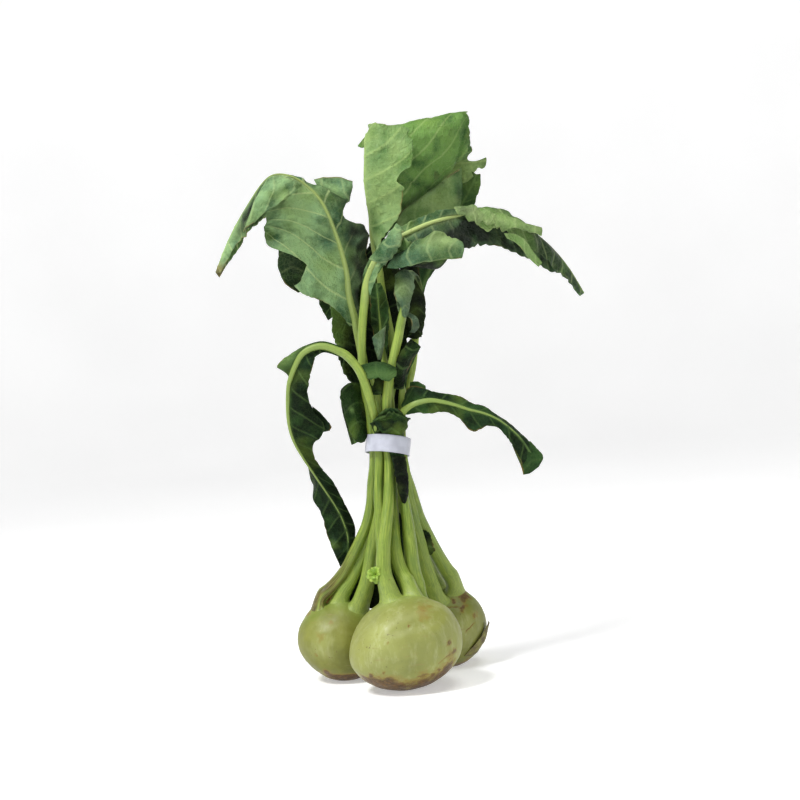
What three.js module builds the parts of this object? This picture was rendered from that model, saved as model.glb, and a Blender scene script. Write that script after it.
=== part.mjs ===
// Kohlrabi bunch: three bulbs, twelve leaf stems and thirteen leaves held by a flat tape tie.
// Millimetres, +Z up. The tie's axis is X = Y = 0 while building, X to the right, -Y to the front,
// Z = 0 the surface the bulbs stand on. The whole group is centred on the origin at the end.
import * as THREE from 'three';

// ---- driving dimensions, mm -----------------------------------------------------------------
const FLAT_RADIUS = 9;          // root-cut spot each bulb stands on
const GAP = 0.35;               // clearance between touching pieces, so none overlap
const STEM_RADIUS = 3.3;        // leaf stem at the tie
const STEM_FLARE = 2.0;         // extra radius where a stem leaves its bulb
const STEM_RING = 8;            // points round a stem
const BLADE_HALF = 0.42;        // half thickness of a leaf beside its rib
const MARGIN_HALF = 0.26;       // half thickness of a leaf at its edge
const WING_STEPS = 4;           // facets from rib to edge
const TIE_HEIGHT = 12.5;
const TIE_WALL = 0.6;
const TIE_INNER_X = 15.8;
const TIE_INNER_Y = 17.2;
const TIE_Z = 169;
const TIE_TILT_SIDE = 10;       // degrees, right side lower
const TIE_TILT_FRONT = -10;     // degrees, front side higher
const SLOT_Z = 169;             // height at which the stems pass the tie
const OUTER_PITCH = 10.8;       // radius of the outer circle of stems in the tie
const INNER_PITCH = 4.2;        // radius of the three stems in its middle

const GREEN = { mid: 0x5c8748, pale: 0x7fa664, dark: 0x2f4f2a, dull: 0x6c7f62 };
const SKIN = 0xaab46a;
const STALK = 0xa3bd5f;

const group = new THREE.Group();
group.name = 'kohlrabi_bunch';

function material(color, roughness) {
  return new THREE.MeshStandardMaterial({ color, roughness, metalness: 0 });
}

function vec(a) {
  return new THREE.Vector3(a[0], a[1], a[2]);
}

function add(name, geometry, mat) {
  const mesh = new THREE.Mesh(geometry, mat);
  mesh.name = name;
  group.add(mesh);
  return mesh;
}

// Closed surface through rings of equal point count, with one pole point at each end.
// Rings run anticlockwise seen from the far end, so that the faces look outward. From ring
// point `turned` on, the facets are split along their other diagonal.
function loft(rings, start, end, turned = Infinity) {
  const n = rings[0].length;
  const points = [start].concat(rings.flat(), [end]);
  const last = points.length - 1;
  const index = [];
  for (let i = 0; i < n; i += 1) {
    const j = (i + 1) % n;
    index.push(0, 1 + j, 1 + i);
    for (let k = 0; k + 1 < rings.length; k += 1) {
      const a = 1 + k * n;
      const b = a + n;
      if (i < turned) {
        index.push(a + i, a + j, b + j);
        index.push(a + i, b + j, b + i);
      } else {
        index.push(a + i, a + j, b + i);
        index.push(a + j, b + j, b + i);
      }
    }
    const e = 1 + (rings.length - 1) * n;
    index.push(last, e + i, e + j);
  }
  const geometry = new THREE.BufferGeometry();
  const flat = points.flatMap((p) => [p.x, p.y, p.z]);
  geometry.setAttribute('position', new THREE.Float32BufferAttribute(flat, 3));
  geometry.setIndex(index);
  geometry.computeVertexNormals();
  return geometry;
}

// ---- bulbs ----------------------------------------------------------------------------------
// A flattened globe made of level rings, its crown shifted sideways by `lean`; `mid` is found when
// the bottom is cut flat.
const BULBS = {
  front: { at: [1, -39], wide: 40, deep: 37, tall: 32, lean: [3.0, -1.0] },
  left: { at: [-46, 15], wide: 32, deep: 32, tall: 29, lean: [-2.0, 0.5] },
  back: { at: [32, 32], wide: 29, deep: 29, tall: 28.5, lean: [1.5, 1.0] },
};
const BULB_RING = 28;
const BULB_LEVELS = 13;

function bulbPoint(bulb, azimuth, polar) {
  const up = Math.cos(polar) * bulb.tall;
  const out = Math.sin(polar);
  const shift = up / bulb.tall;
  const x = bulb.at[0] + bulb.lean[0] * shift + out * bulb.wide * Math.cos(azimuth);
  const y = bulb.at[1] + bulb.lean[1] * shift + out * bulb.deep * Math.sin(azimuth);
  return new THREE.Vector3(x, y, bulb.mid + up);
}

function addBulb(name, bulb) {
  const cut = Math.PI - Math.asin(FLAT_RADIUS / bulb.wide);
  const floorUp = Math.cos(cut) * bulb.tall;
  bulb.mid = -floorUp;
  const rings = [];
  for (let k = 0; k < BULB_LEVELS; k += 1) {
    const polar = cut + (0.14 - cut) * (k / (BULB_LEVELS - 1));
    const ring = [];
    for (let i = 0; i < BULB_RING; i += 1) {
      ring.push(bulbPoint(bulb, (i / BULB_RING) * 2 * Math.PI, polar));
    }
    rings.push(ring);
  }
  const foot = bulbPoint(bulb, 0, Math.PI);
  foot.z = 0;
  const crown = bulbPoint(bulb, 0, 0);
  add(name, loft(rings, foot, crown), material(SKIN, 0.5));
}

// Point on a bulb's upper skin at a sideways offset from its middle, and the way out of it.
function bulbTop(bulb, dx, dy) {
  const reach = Math.hypot(dx / bulb.wide, dy / bulb.deep);
  const polar = Math.asin(Math.min(reach, 0.95));
  const azimuth = Math.atan2(dy / bulb.deep, dx / bulb.wide);
  const at = bulbPoint(bulb, azimuth, polar);
  const east = (Math.sin(polar) * Math.cos(azimuth)) / bulb.wide;
  const north = (Math.sin(polar) * Math.sin(azimuth)) / bulb.deep;
  const out = new THREE.Vector3(east, north, Math.cos(polar) / bulb.tall);
  out.z -= (bulb.lean[0] * out.x + bulb.lean[1] * out.y) / bulb.tall;
  return { at, out: out.normalize() };
}

addBulb('bulb_front', BULBS.front);
addBulb('bulb_left', BULBS.left);
addBulb('bulb_back', BULBS.back);

// ---- stems ----------------------------------------------------------------------------------
function outerSlot(degrees) {
  const a = THREE.MathUtils.degToRad(degrees);
  return [OUTER_PITCH * Math.cos(a), OUTER_PITCH * Math.sin(a)];
}

function innerSlot(degrees) {
  const a = THREE.MathUtils.degToRad(degrees);
  return [INNER_PITCH * Math.cos(a), INNER_PITCH * Math.sin(a)];
}

// name, bulb, offset on the bulb, way up to the tie, place in the tie, way on to the leaf, radius
const STEMS = [
  ['left_low', 'front', [-11, 13], [[-10, -25, 76], [-10, -22, 100], [-10, -17, 122], [-9, -12, 145]],
    outerSlot(230), [[-7, -13, 187], [-9, -17, 201], [-13, -21, 219], [-19, -23, 233], [-24, -24, 238]], 1],
  ['wilted', 'front', [-6, 3], [[-6.5, -35, 80], [-6, -31, 101], [-3, -23, 125], [-1, -16, 145]],
    outerSlot(270), [[1, -13, 188], [2, -15, 203], [7, -16, 224], [13, -14, 243], [18, -11, 260]], 1.06],
  ['inner', 'front', [6, 8], [[4.2, -25, 78], [0.5, -22, 92], [0, -15, 110], [0.5, -8, 130]],
    innerSlot(330), [[4.5, -1.5, 192], [4.5, -1, 210], [3, 0, 228]], 0.9],
  ['right_low', 'front', [7, 20], [[9, -17, 80], [9, -16, 100], [8.5, -13, 125], [7.5, -10, 146]],
    outerSlot(310), [[9, -11, 186], [12.5, -14.5, 193]], 0.9],
  ['right_high', 'left', [-14, -5], [[-54, 9, 67], [-36, 6, 95], [-23, 3, 120], [-15, 0, 145]],
    outerSlot(190), [[-12, -3, 203], [-13, -5, 229], [-11, -6, 254], [-7, -7, 277]], 1.06],
  ['left_small', 'left', [1, -6], [[-41, 9, 69], [-25.5, 8, 98], [-16, 7, 122], [-11.3, 5.6, 145]],
    outerSlot(150), [[-13, 5.5, 187], [-17, 4, 197], [-19, 3, 203]], 0.9],
  ['front_curl', 'left', [14, -9], [[-28, 4, 68], [-19, 1, 98], [-11, -1, 123], [-7, -2, 145]],
    innerSlot(210), [[-3.5, -5, 192], [-4, -8.5, 205], [-6, -12.5, 216]], 0.85],
  ['left_high', 'left', [3, 13], [[-40, 26, 68], [-27, 21, 97], [-15, 16, 122], [-6, 12, 145]],
    outerSlot(110), [[-7, 10, 192], [-11, 8.5, 212], [-13, 7, 236], [-15, 5, 254]], 1.02],
  ['top', 'back', [-15, -7], [[12, 23, 68], [7, 14, 109], [6.3, 8.7, 128], [2, 5, 150]],
    innerSlot(90), [[2, 6, 192], [6, 8.5, 208], [9.5, 9, 228], [8.5, 9, 255], [6, 9, 275], [5, 9, 297]], 0.95],
  ['right_fold', 'back', [-8, -15], [[21, 16, 70], [15, 10, 105], [12.3, 3.6, 128], [11.4, -1, 150]],
    outerSlot(350), [[11.5, -2, 190], [13, -4, 200], [14, -6, 207]], 0.9],
  ['right_back', 'back', [7, -3], [[34, 27, 72], [23.5, 20.5, 96], [17.5, 15.5, 115], [14, 10, 135]],
    outerSlot(30), [[12, 8, 190], [16, 11, 203], [21, 14, 218], [25, 18, 236], [28, 22, 253]], 0.95],
  ['back_left', 'back', [-5, 12], [[22, 38, 74], [13, 26, 105], [7, 17.5, 130]],
    outerSlot(70), [[2, 14, 190], [-2, 17.5, 205], [-8, 21.5, 222]], 0.95],
];

const STEM_STATIONS = 16;

function addStem([name, bulbName, offset, below, slot, above, scale]) {
  const { at, out } = bulbTop(BULBS[bulbName], offset[0], offset[1]);
  const foot = at.clone().addScaledVector(out, GAP);
  const knee = at.clone().addScaledVector(out, 5);
  const pass = [SLOT_Z - 9, SLOT_Z + 9].map((z) => new THREE.Vector3(slot[0], slot[1], z));
  const route = [foot, knee].concat(below.map(vec), pass, above.map(vec));
  const curve = new THREE.CatmullRomCurve3(route, false, 'centripetal');
  curve.arcLengthDivisions = 800;
  const length = curve.getLength();
  const rings = [];
  const centres = [];
  let side = new THREE.Vector3(1, 0, 0);
  for (let k = 0; k <= STEM_STATIONS; k += 1) {
    const u = Math.pow(k / STEM_STATIONS, 1.2);
    const centre = curve.getPointAt(u);
    const along = k === 0 ? out.clone() : curve.getTangentAt(u);
    side = side.addScaledVector(along, -side.dot(along)).normalize();
    const other = new THREE.Vector3().crossVectors(along, side);
    const taper = STEM_RADIUS * scale * (1.05 - 0.15 * u);
    const radius = taper + STEM_FLARE * Math.exp((-u * length) / 6);
    const ring = [];
    for (let i = 0; i < STEM_RING; i += 1) {
      const a = (i / STEM_RING) * 2 * Math.PI;
      const p = centre.clone().addScaledVector(side, radius * Math.cos(a));
      ring.push(p.addScaledVector(other, radius * Math.sin(a)));
    }
    rings.push(ring);
    centres.push(centre);
    side = side.clone();
  }
  add('stem_' + name, loft(rings, centres[0], centres[STEM_STATIONS]), material(STALK, 0.45));
}

STEMS.forEach(addStem);

// ---- leaves ---------------------------------------------------------------------------------
// Each section of a leaf is [rib, left edge, right edge, left bow, right bow], listed from the
// stem to the tip; left and right are those of someone travelling along the rib with the front
// towards them. A bow is how far the middle of that wing leaves the straight line: a vector, or a
// number for towards the front.
const LEAVES = {
  left_high: { stations: 24, rib: 2.4, color: GREEN.mid, sections: [
    [[-15, 5, 257], [-20, 3, 257], [-12, 6, 258], 0, 0],
    [[-19, 1, 278], [-35, -6, 273], [-10, 4, 281], 2, 0],
    [[-19, -4, 296], [-59, -18, 291], [-2, 7, 306], 4, 1],
    [[-23, -9, 319], [-74, -30, 325], [-2, 5, 328], 6, 2],
    [[-31, -17, 345], [-73, -35, 334], [-13, -2, 353], 5, 2],
    [[-43, -23, 360], [-72, -39, 338], [-32, -6, 360], 2, 0],
    [[-56, -27, 367], [-73, -43, 335], [-56, -9, 357], 0, 0],
    [[-68, -29, 365], [-77, -44, 331], [-69, -14, 349], 0, -2],
    [[-84, -32, 346], [-83, -43, 326], [-83, -20, 330], 0, -2],
    [[-98, -34, 325], [-93, -39, 319], [-94, -27, 316], 0, 0],
    [[-109, -35, 303], [-105, -39, 302], [-107, -31, 299], 0, 0],
  ] },
  left_low: { stations: 24, rib: 2.2, color: GREEN.dark, sections: [
    [[-26, -24, 239], [-28, -24, 236], [-25, -24, 243], 0, 0],
    [[-40, -25, 245], [-39, -26, 240], [-40, -24, 249], 0, 0],
    [[-54, -24, 241], [-44, -27, 234], [-61, -23, 244], 0, 0],
    [[-61, -23, 231], [-47, -26, 226], [-75, -26, 236], 0, 0],
    [[-64, -23, 224], [-49, -26, 220], [-72, -14, 229], 0, 0],
    [[-66, -22, 217], [-51, -25, 214], [-62, -9, 217], 2, 0],
    [[-68, -19, 201], [-49, -22, 202], [-62, -4, 199], 3, 0],
    [[-68, -16, 187], [-39, -18, 185], [-61, -1, 184], 3, 0],
    [[-64, -12, 172], [-51, -9, 170], [-58, 3, 165], 0, 0],
    [[-52, -3, 148], [-39, 3, 144], [-58, 7, 140], 0, 0],
    [[-40, 6, 124], [-30, 10, 122], [-54, 10, 118], 0, 0],
    [[-35, 11, 103], [-28, 14, 105], [-50, 14, 98], 0, 0],
    [[-38, 14, 83], [-35, 16, 84], [-42, 14, 81], 0, 0],
  ] },
  top: { stations: 24, rib: 1.2, color: GREEN.pale, sections: [
    [[5, 9, 301], [9, 14, 300], [8, 5, 301], 0, 0],
    [[1, 7, 319], [15, 18, 320], [10, 1, 316], 0, 0],
    [[0, 5, 338], [33, 24, 339], [26, -5, 333], 0, 0],
    [[-1, 2, 359], [61, 29, 360], [31, -8, 356], 3, 2],
    [[1, 1, 378], [79, 30, 376], [39, -9, 374], 3, 2],
    [[2, 3, 390], [81, 28, 396], [36, -4, 395], 2, 1],
    [[5, 11, 394], [81, 32, 404], [12, 6, 400], -2, 0],
    [[11, 26, 392], [81, 41, 401], [9, 31, 400], -3, 0],
    [[29, 39, 382], [81, 47, 394], [22, 50, 373], -2, 0],
    [[52, 47, 373], [82, 50, 385], [50, 52, 339], 0, 0],
    [[74, 49, 370], [85, 51, 375], [78, 52, 340], 0, 0],
    [[91, 48, 370], [91, 48, 373], [90, 49, 366], 0, 0],
  ] },
  right_high: { stations: 24, rib: 2.0, color: GREEN.mid, sections: [
    [[-7, -7, 280], [-9, -8, 282], [-3, -9, 278], 0, 0],
    [[-1, -10, 296], [-5, -13, 299], [4, -20, 290], 0, [0, -2, -3]],
    [[12, -13, 311], [10, -11, 317], [19, -30, 318], 0, [0, -1, -13]],
    [[30, -17, 320], [29, -14, 327], [33, -28, 313], 0, [-3, -4, -22]],
    [[49, -17, 326], [48, -16, 334], [56, -29, 313], 0, [-3, -4, -24]],
    [[67, -16, 329], [68, -26, 331], [65, -20, 303], [0, -2, 4], 0],
    [[81, -15, 332], [79, -25, 315], [80, -9, 304], [0, -5, 8], -2],
    [[96, -12, 325], [97, -22, 312], [95, -7, 302], [0, -4, 7], -2],
    [[112, -8, 316], [112, -17, 299], [109, -4, 293], [0, -4, 5], 0],
    [[127, -2, 303], [122, -13, 290], [124, 4, 284], [0, -2, 2], 0],
    [[140, 4, 286], [134, -4, 280], [135, 11, 277], 0, 0],
    [[151, 10, 266], [149, 6, 265], [148, 13, 264], 0, 0],
  ] },
  right_low: { stations: 13, rib: 1.8, color: GREEN.mid, sections: [
    [[13, -15, 194], [12, -14, 198], [15, -16, 191], 0, 0],
    [[20, -19, 198], [20, -12, 213], [23, -18, 189], 0, 0],
    [[33, -21, 200], [33, -14, 208], [35, -20, 189], 0, 0],
    [[48, -23, 196], [49, -18, 204], [49, -22, 187], 0, 0],
    [[60, -25, 191], [62, -20, 198], [61, -25, 174], 0, 0],
    [[74, -27, 186], [76, -21, 189], [75, -29, 177], 0, 0],
    [[86, -28, 177], [89, -23, 178], [84, -31, 170], 0, 0],
    [[96, -29, 165], [102, -25, 162], [89, -33, 157], 0, 0],
    [[101, -30, 153], [104, -28, 150], [93, -33, 147], 0, 0],
  ] },
  wilted: { stations: 10, rib: 1.2, color: GREEN.dull, sections: [
    [[19, -10, 263], [16, -11, 264], [23, -10, 262], 0, 0],
    [[22, -9, 278], [14, -13, 277], [27, -6, 277], 0, 0],
    [[25, -3, 291], [19, -6, 292], [30, 1, 288], 0, 0],
    [[30, 8, 291], [25, 8, 292], [34, 9, 286], 0, 0],
    [[31, 13, 277], [25, 13, 278], [35, 13, 273], 0, 0],
    [[31, 15, 261], [23, 15, 261], [34, 16, 259], 0, 0],
    [[28, 16, 246], [23, 16, 245], [31, 16, 244], 0, 0],
  ] },
  right_back: { stations: 10, rib: 1.6, color: GREEN.dark, sections: [
    [[28, 22, 256], [25, 22, 257], [32, 22, 255], 0, 0],
    [[32, 26, 271], [27, 26, 275], [35, 27, 272], 0, 0],
    [[38, 31, 286], [27, 31, 296], [43, 33, 285], 0, 0],
    [[51, 37, 309], [32, 38, 320], [58, 38, 305], 0, 0],
    [[64, 40, 331], [50, 43, 346], [75, 39, 328], 0, 0],
    [[77, 40, 350], [72, 42, 360], [84, 37, 347], 0, 0],
    [[82, 38, 360], [78, 39, 363], [85, 37, 360], 0, 0],
  ] },
  right_fold: { stations: 6, rib: 1.2, color: GREEN.dark, sections: [
    [[14, -7, 210], [10, -6, 211], [16, -6, 208], 0, 0],
    [[15, -11, 223], [12, -7, 222], [20, -8, 220], 0, 0],
    [[21, -11, 234], [17, -7, 235], [26, -8, 231], 0, 0],
    [[26, -9, 242], [23, -7, 243], [29, -7, 239], 0, 0],
  ] },
  front_curl: { stations: 6, rib: 0.9, color: GREEN.dull, sections: [
    [[-15, -12, 225], [-15, -12, 229], [-14, -12, 222], 0, 0],
    [[-6, -17, 226], [-6, -14, 230], [-6, -17, 220], 1, 0],
    [[3, -22, 224], [4, -19, 229], [2, -21, 218], 1, 0],
    [[10, -24, 222], [11, -22, 225], [9, -22, 218], 0, 0],
  ] },
  left_small: { stations: 9, rib: 1.2, color: GREEN.dark, sections: [
    [[-19, 3, 206], [-22, 1, 203], [-17, 4, 208], 0, 0],
    [[-24, 0, 211], [-20, -4, 208], [-27, 2, 215], 0, 0],
    [[-28, -2, 203], [-20, -6, 200], [-31, 0, 204], 0, 0],
    [[-26, -4, 189], [-18, -6, 189], [-29, -2, 187], 0, 0],
    [[-23, -5, 173], [-19, -6, 175], [-26, -4, 172], 0, 0],
  ] },
  back_left: { stations: 12, rib: 1.6, color: GREEN.dark, sections: [
    [[-9, 22, 226], [-14, 19, 222], [-5, 24, 227], 0, 0],
    [[-12, 25, 242], [-28, 15, 221], [-5, 28, 245], 0, 0],
    [[-18, 29, 263], [-34, 19, 255], [-8, 34, 269], 2, 0],
    [[-23, 36, 282], [-35, 30, 277], [-6, 41, 291], 2, 0],
    [[-29, 55, 301], [-40, 53, 297], [-13, 59, 310], 0, 0],
    [[-33, 76, 295], [-45, 72, 286], [-23, 81, 299], 0, 0],
    [[-34, 86, 277], [-43, 83, 271], [-28, 90, 278], 0, 0],
    [[-35, 88, 264], [-38, 86, 262], [-32, 90, 263], 0, 0],
  ] },
  inner: { stations: 8, rib: 1.2, color: GREEN.dull, sections: [
    [[3, 0, 231], [-1, 0, 231], [5, -1, 230], 0, 0],
    [[2, -1, 245], [-4, -4, 247], [7, -4, 245], 0, 0],
    [[2, 0, 262], [-5, -3, 261], [10, -4, 265], 0, 0],
    [[2, 1, 275], [-5, -2, 274], [9, -2, 276], 0, 0],
    [[2, 2, 286], [-2, 1, 287], [5, 0, 286], 0, 0],
  ] },
  tucked: { stations: 10, rib: 0, color: GREEN.dark, sections: [
    [[5, -21, 197], [10, -20, 196], [0, -22, 197], 0, 0],
    [[5, -20, 190], [16, -15, 189], [-6, -22, 192], 0, 0],
    [[4, -18, 184], [16, -11, 181], [-9, -18, 185], 1, 1],
    [[4, -15.1, 178.8], [13.2, -7.5, 176], [-4, -14.4, 179.6], [0.8, -1, 0], 0.5],
    [[4.5, -14.8, 169], [12.6, -8.5, 168], [-2, -14.9, 170], [0.8, -0.8, 0], 0.2],
    [[6, -15, 161], [11.6, -9.6, 160], [1.5, -15.3, 162], [0.6, -0.6, 0], 0],
    [[8, -17, 146], [12, -14, 145], [4, -19, 147], 0, 0],
    [[8, -18, 131], [10, -17, 130], [6, -20, 131], 0, 0],
  ] },
};

function bowVector(bow) {
  return Array.isArray(bow) ? vec(bow) : new THREE.Vector3(0, -bow, 0);
}

function spline(points) {
  return new THREE.CatmullRomCurve3(points, false, 'catmullrom', 0.5);
}

// Middle surface of a leaf: one row of points per station, left edge first.
function leafRows(leaf) {
  const column = (pick) => spline(leaf.sections.map(pick));
  const rib = column((s) => vec(s[0]));
  const edges = [column((s) => vec(s[1])), column((s) => vec(s[2]))];
  const bows = [column((s) => bowVector(s[3])), column((s) => bowVector(s[4]))];
  const rows = [];
  for (let k = 0; k < leaf.stations; k += 1) {
    const u = k / (leaf.stations - 1);
    const middle = rib.getPoint(u);
    const wing = edges.map((edge, w) => {
      const tip = edge.getPoint(u);
      const bow = bows[w].getPoint(u);
      const points = [];
      for (let i = 1; i <= WING_STEPS; i += 1) {
        const s = i / WING_STEPS;
        const p = middle.clone().lerp(tip, s);
        points.push(p.addScaledVector(bow, 4 * s * (1 - s)));
      }
      return points;
    });
    rows.push(wing[0].reverse().concat([middle], wing[1]));
  }
  return rows;
}

// Unit normal on one side of point i of row k, away from the front of the leaf.
function sideNormal(rows, k, i, step) {
  const before = rows[Math.max(k - 1, 0)][i];
  const after = rows[Math.min(k + 1, rows.length - 1)][i];
  const along = new THREE.Vector3().subVectors(after, before);
  const across = new THREE.Vector3().subVectors(rows[k][i + step], rows[k][i]);
  return across.multiplyScalar(step).cross(along).normalize().negate();
}

// Half thickness at point i of a row: less at the edge, and less where the leaf is folded tightly.
function halfThickness(row, i) {
  const inward = 1 - Math.abs(i - WING_STEPS) / WING_STEPS;
  const half = MARGIN_HALF + (BLADE_HALF - MARGIN_HALF) * inward;
  if (i === 0 || i === row.length - 1) return { half, open: 1, step: 0 };
  const before = new THREE.Vector3().subVectors(row[i - 1], row[i]);
  const after = new THREE.Vector3().subVectors(row[i + 1], row[i]);
  const angle = before.angleTo(after) / 2;
  const step = Math.min(before.length(), after.length());
  const limit = 0.4 * step * Math.tan(Math.min(angle, 1.5));
  return { half: Math.min(half, limit), open: Math.sin(angle), step };
}

function addLeaf(name, leaf) {
  const rows = leafRows(leaf);
  const count = rows[0].length;
  const rings = rows.map((row, k) => {
    const front = [];
    const back = [];
    row.forEach((p, i) => {
      const sides = [];
      if (i > 0) sides.push(sideNormal(rows, k, i, -1));
      if (i < count - 1) sides.push(sideNormal(rows, k, i, 1));
      const normal = sides[0].clone();
      if (sides.length > 1) normal.add(sides[1]);
      normal.normalize();
      const { half, open } = halfThickness(row, i);
      const mitre = half / Math.max(open, 0.45);
      back.push(p.clone().addScaledVector(normal, mitre));
      if (i !== WING_STEPS) {
        front.push(p.clone().addScaledVector(normal, -mitre));
        return;
      }
      const fade = 1 - (0.75 * k) / (rows.length - 1);
      const inner = new THREE.Vector3().addVectors(row[i - 1], row[i + 1]).sub(p).sub(p);
      const cupped = open < 0.9 && inner.dot(normal) < 0;
      const depth = cupped ? mitre : mitre + leaf.rib * fade;
      const reach = 0.9 + 0.8 * fade;
      const lip = (step, side) => {
        const way = new THREE.Vector3().subVectors(row[i + step], p);
        way.setLength(Math.min(reach, 0.7 * way.length()));
        return p.clone().add(way).addScaledVector(side, -half);
      };
      front.push(lip(-1, sides[0]));
      front.push(p.clone().addScaledVector(normal, -depth));
      front.push(lip(1, sides[1]));
    });
    return front.concat(back.reverse());
  });
  const start = rows[0][WING_STEPS];
  const end = rows[rows.length - 1][WING_STEPS];
  const skinPoints = count + 2; // the back skin splits its facets as the front skin does
  add('leaf_' + name, loft(rings, start, end, skinPoints), material(leaf.color, 0.55));
}

Object.entries(LEAVES).forEach(([name, leaf]) => addLeaf(name, leaf));

// ---- tie, sprout and leaf scar --------------------------------------------------------------
function addTie() {
  const loop = (dx) => {
    const path = [];
    for (let i = 0; i < 56; i += 1) {
      const a = (i / 56) * 2 * Math.PI;
      path.push(new THREE.Vector2((TIE_INNER_X + dx) * Math.cos(a), (TIE_INNER_Y + dx) * Math.sin(a)));
    }
    return path;
  };
  const shape = new THREE.Shape(loop(TIE_WALL));
  shape.holes.push(new THREE.Path(loop(0)));
  const geometry = new THREE.ExtrudeGeometry(shape, { depth: TIE_HEIGHT, bevelEnabled: false });
  geometry.translate(0, 0, -TIE_HEIGHT / 2);
  geometry.rotateY(THREE.MathUtils.degToRad(TIE_TILT_SIDE));
  geometry.rotateX(THREE.MathUtils.degToRad(TIE_TILT_FRONT));
  geometry.translate(0, 0, TIE_Z);
  add('tie_band', geometry, material(0xd9dbe8, 0.4));
}

function addSprout() {
  const geometry = new THREE.SphereGeometry(1, 10, 8);
  geometry.scale(3.4, 2.6, 4.6);
  geometry.rotateY(THREE.MathUtils.degToRad(-25));
  geometry.translate(-14.5, -33.5, 84);
  add('sprout', geometry, material(0xb9cf3e, 0.5));
}

function addLeafScar() {
  const geometry = new THREE.ConeGeometry(2.2, 5.5, 8, 1);
  geometry.rotateZ(THREE.MathUtils.degToRad(-110));
  geometry.translate(62.5, 24, 16.5);
  add('leaf_scar', geometry, material(0x8d8a4c, 0.7));
}

addTie();
addSprout();
addLeafScar();

// ---- stand the bunch on the origin ----------------------------------------------------------
const bounds = new THREE.Box3().setFromObject(group);
const middle = bounds.getCenter(new THREE.Vector3());
group.children.forEach((mesh) => {
  mesh.geometry.translate(-middle.x, -middle.y, -bounds.min.z);
});

export default group;
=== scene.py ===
"""Looks of the kohlrabi bunch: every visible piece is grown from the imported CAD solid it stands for.

Lengths are millimetres in the geometry code and become metres only when a mesh is made.
"""
import math

import bpy
import numpy as np
from mathutils import Matrix, Vector
from mathutils.kdtree import KDTree


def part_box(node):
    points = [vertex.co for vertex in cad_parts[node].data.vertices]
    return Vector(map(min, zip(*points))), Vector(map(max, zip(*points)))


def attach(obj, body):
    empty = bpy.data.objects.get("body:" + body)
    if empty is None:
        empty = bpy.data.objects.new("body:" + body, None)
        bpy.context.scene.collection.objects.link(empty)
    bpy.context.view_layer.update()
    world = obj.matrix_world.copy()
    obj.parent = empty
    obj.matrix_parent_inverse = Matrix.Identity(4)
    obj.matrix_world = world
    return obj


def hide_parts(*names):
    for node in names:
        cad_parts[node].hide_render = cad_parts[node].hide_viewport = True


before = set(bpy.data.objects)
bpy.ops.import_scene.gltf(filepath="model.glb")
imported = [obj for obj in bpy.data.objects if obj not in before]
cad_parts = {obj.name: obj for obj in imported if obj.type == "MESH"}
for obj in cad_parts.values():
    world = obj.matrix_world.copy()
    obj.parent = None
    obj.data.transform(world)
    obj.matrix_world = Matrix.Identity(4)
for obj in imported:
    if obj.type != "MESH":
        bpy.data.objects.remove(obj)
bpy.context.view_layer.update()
MM = 0.001


# ---- noise --------------------------------------------------------------------------------------
LATTICE = 32
TABLES = {}


def noise(points, size, seed):
    """Smooth value noise from -1 to 1, with features about `size` apart."""
    if seed not in TABLES:
        TABLES[seed] = np.random.default_rng(seed).uniform(-1, 1, (LATTICE,) * 3)
    table = TABLES[seed]
    q = np.asarray(points, float) / size + 0.37 * seed
    cell = np.floor(q).astype(int)
    f = q - cell
    f = f * f * (3 - 2 * f)
    total = 0
    for corner in np.ndindex(2, 2, 2):
        at = [(cell[..., a] + corner[a]) % LATTICE for a in range(3)]
        share = np.prod([f[..., a] if corner[a] else 1 - f[..., a] for a in range(3)], axis=0)
        total = total + share * table[at[0], at[1], at[2]]
    return total


def rough(points, size, seed, octaves=3):
    """Several octaves of noise, each half as large and half as strong as the last."""
    return sum(noise(points, size / 2**k, seed + k) / 2**k for k in range(octaves))


def along(x, seed=0):
    """Points on a line, for noise that varies with one number only."""
    x = np.asarray(x, float)
    return np.stack([x, np.full_like(x, 3.1 * seed + 0.5), np.full_like(x, 0.5)], axis=-1)


def step(low, high, x):
    """0 below low, 1 above high, smooth in between."""
    t = np.clip((np.asarray(x, float) - low) / (high - low), 0, 1)
    return t * t * (3 - 2 * t)


# ---- reading the CAD solids ---------------------------------------------------------------------
def welded(node):
    """Points (mm) and outward faces of a CAD node, with the points at one place merged."""
    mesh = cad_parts[node].data
    co = np.empty(len(mesh.vertices) * 3)
    mesh.vertices.foreach_get("co", co)
    co = co.reshape(-1, 3) / MM
    points, index = np.unique(np.round(co, 3), axis=0, return_inverse=True)
    index = index.reshape(-1)
    faces = [tuple(index[list(p.vertices)]) for p in mesh.polygons]
    return points, [f for f in faces if len(set(f)) == 3]


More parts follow.
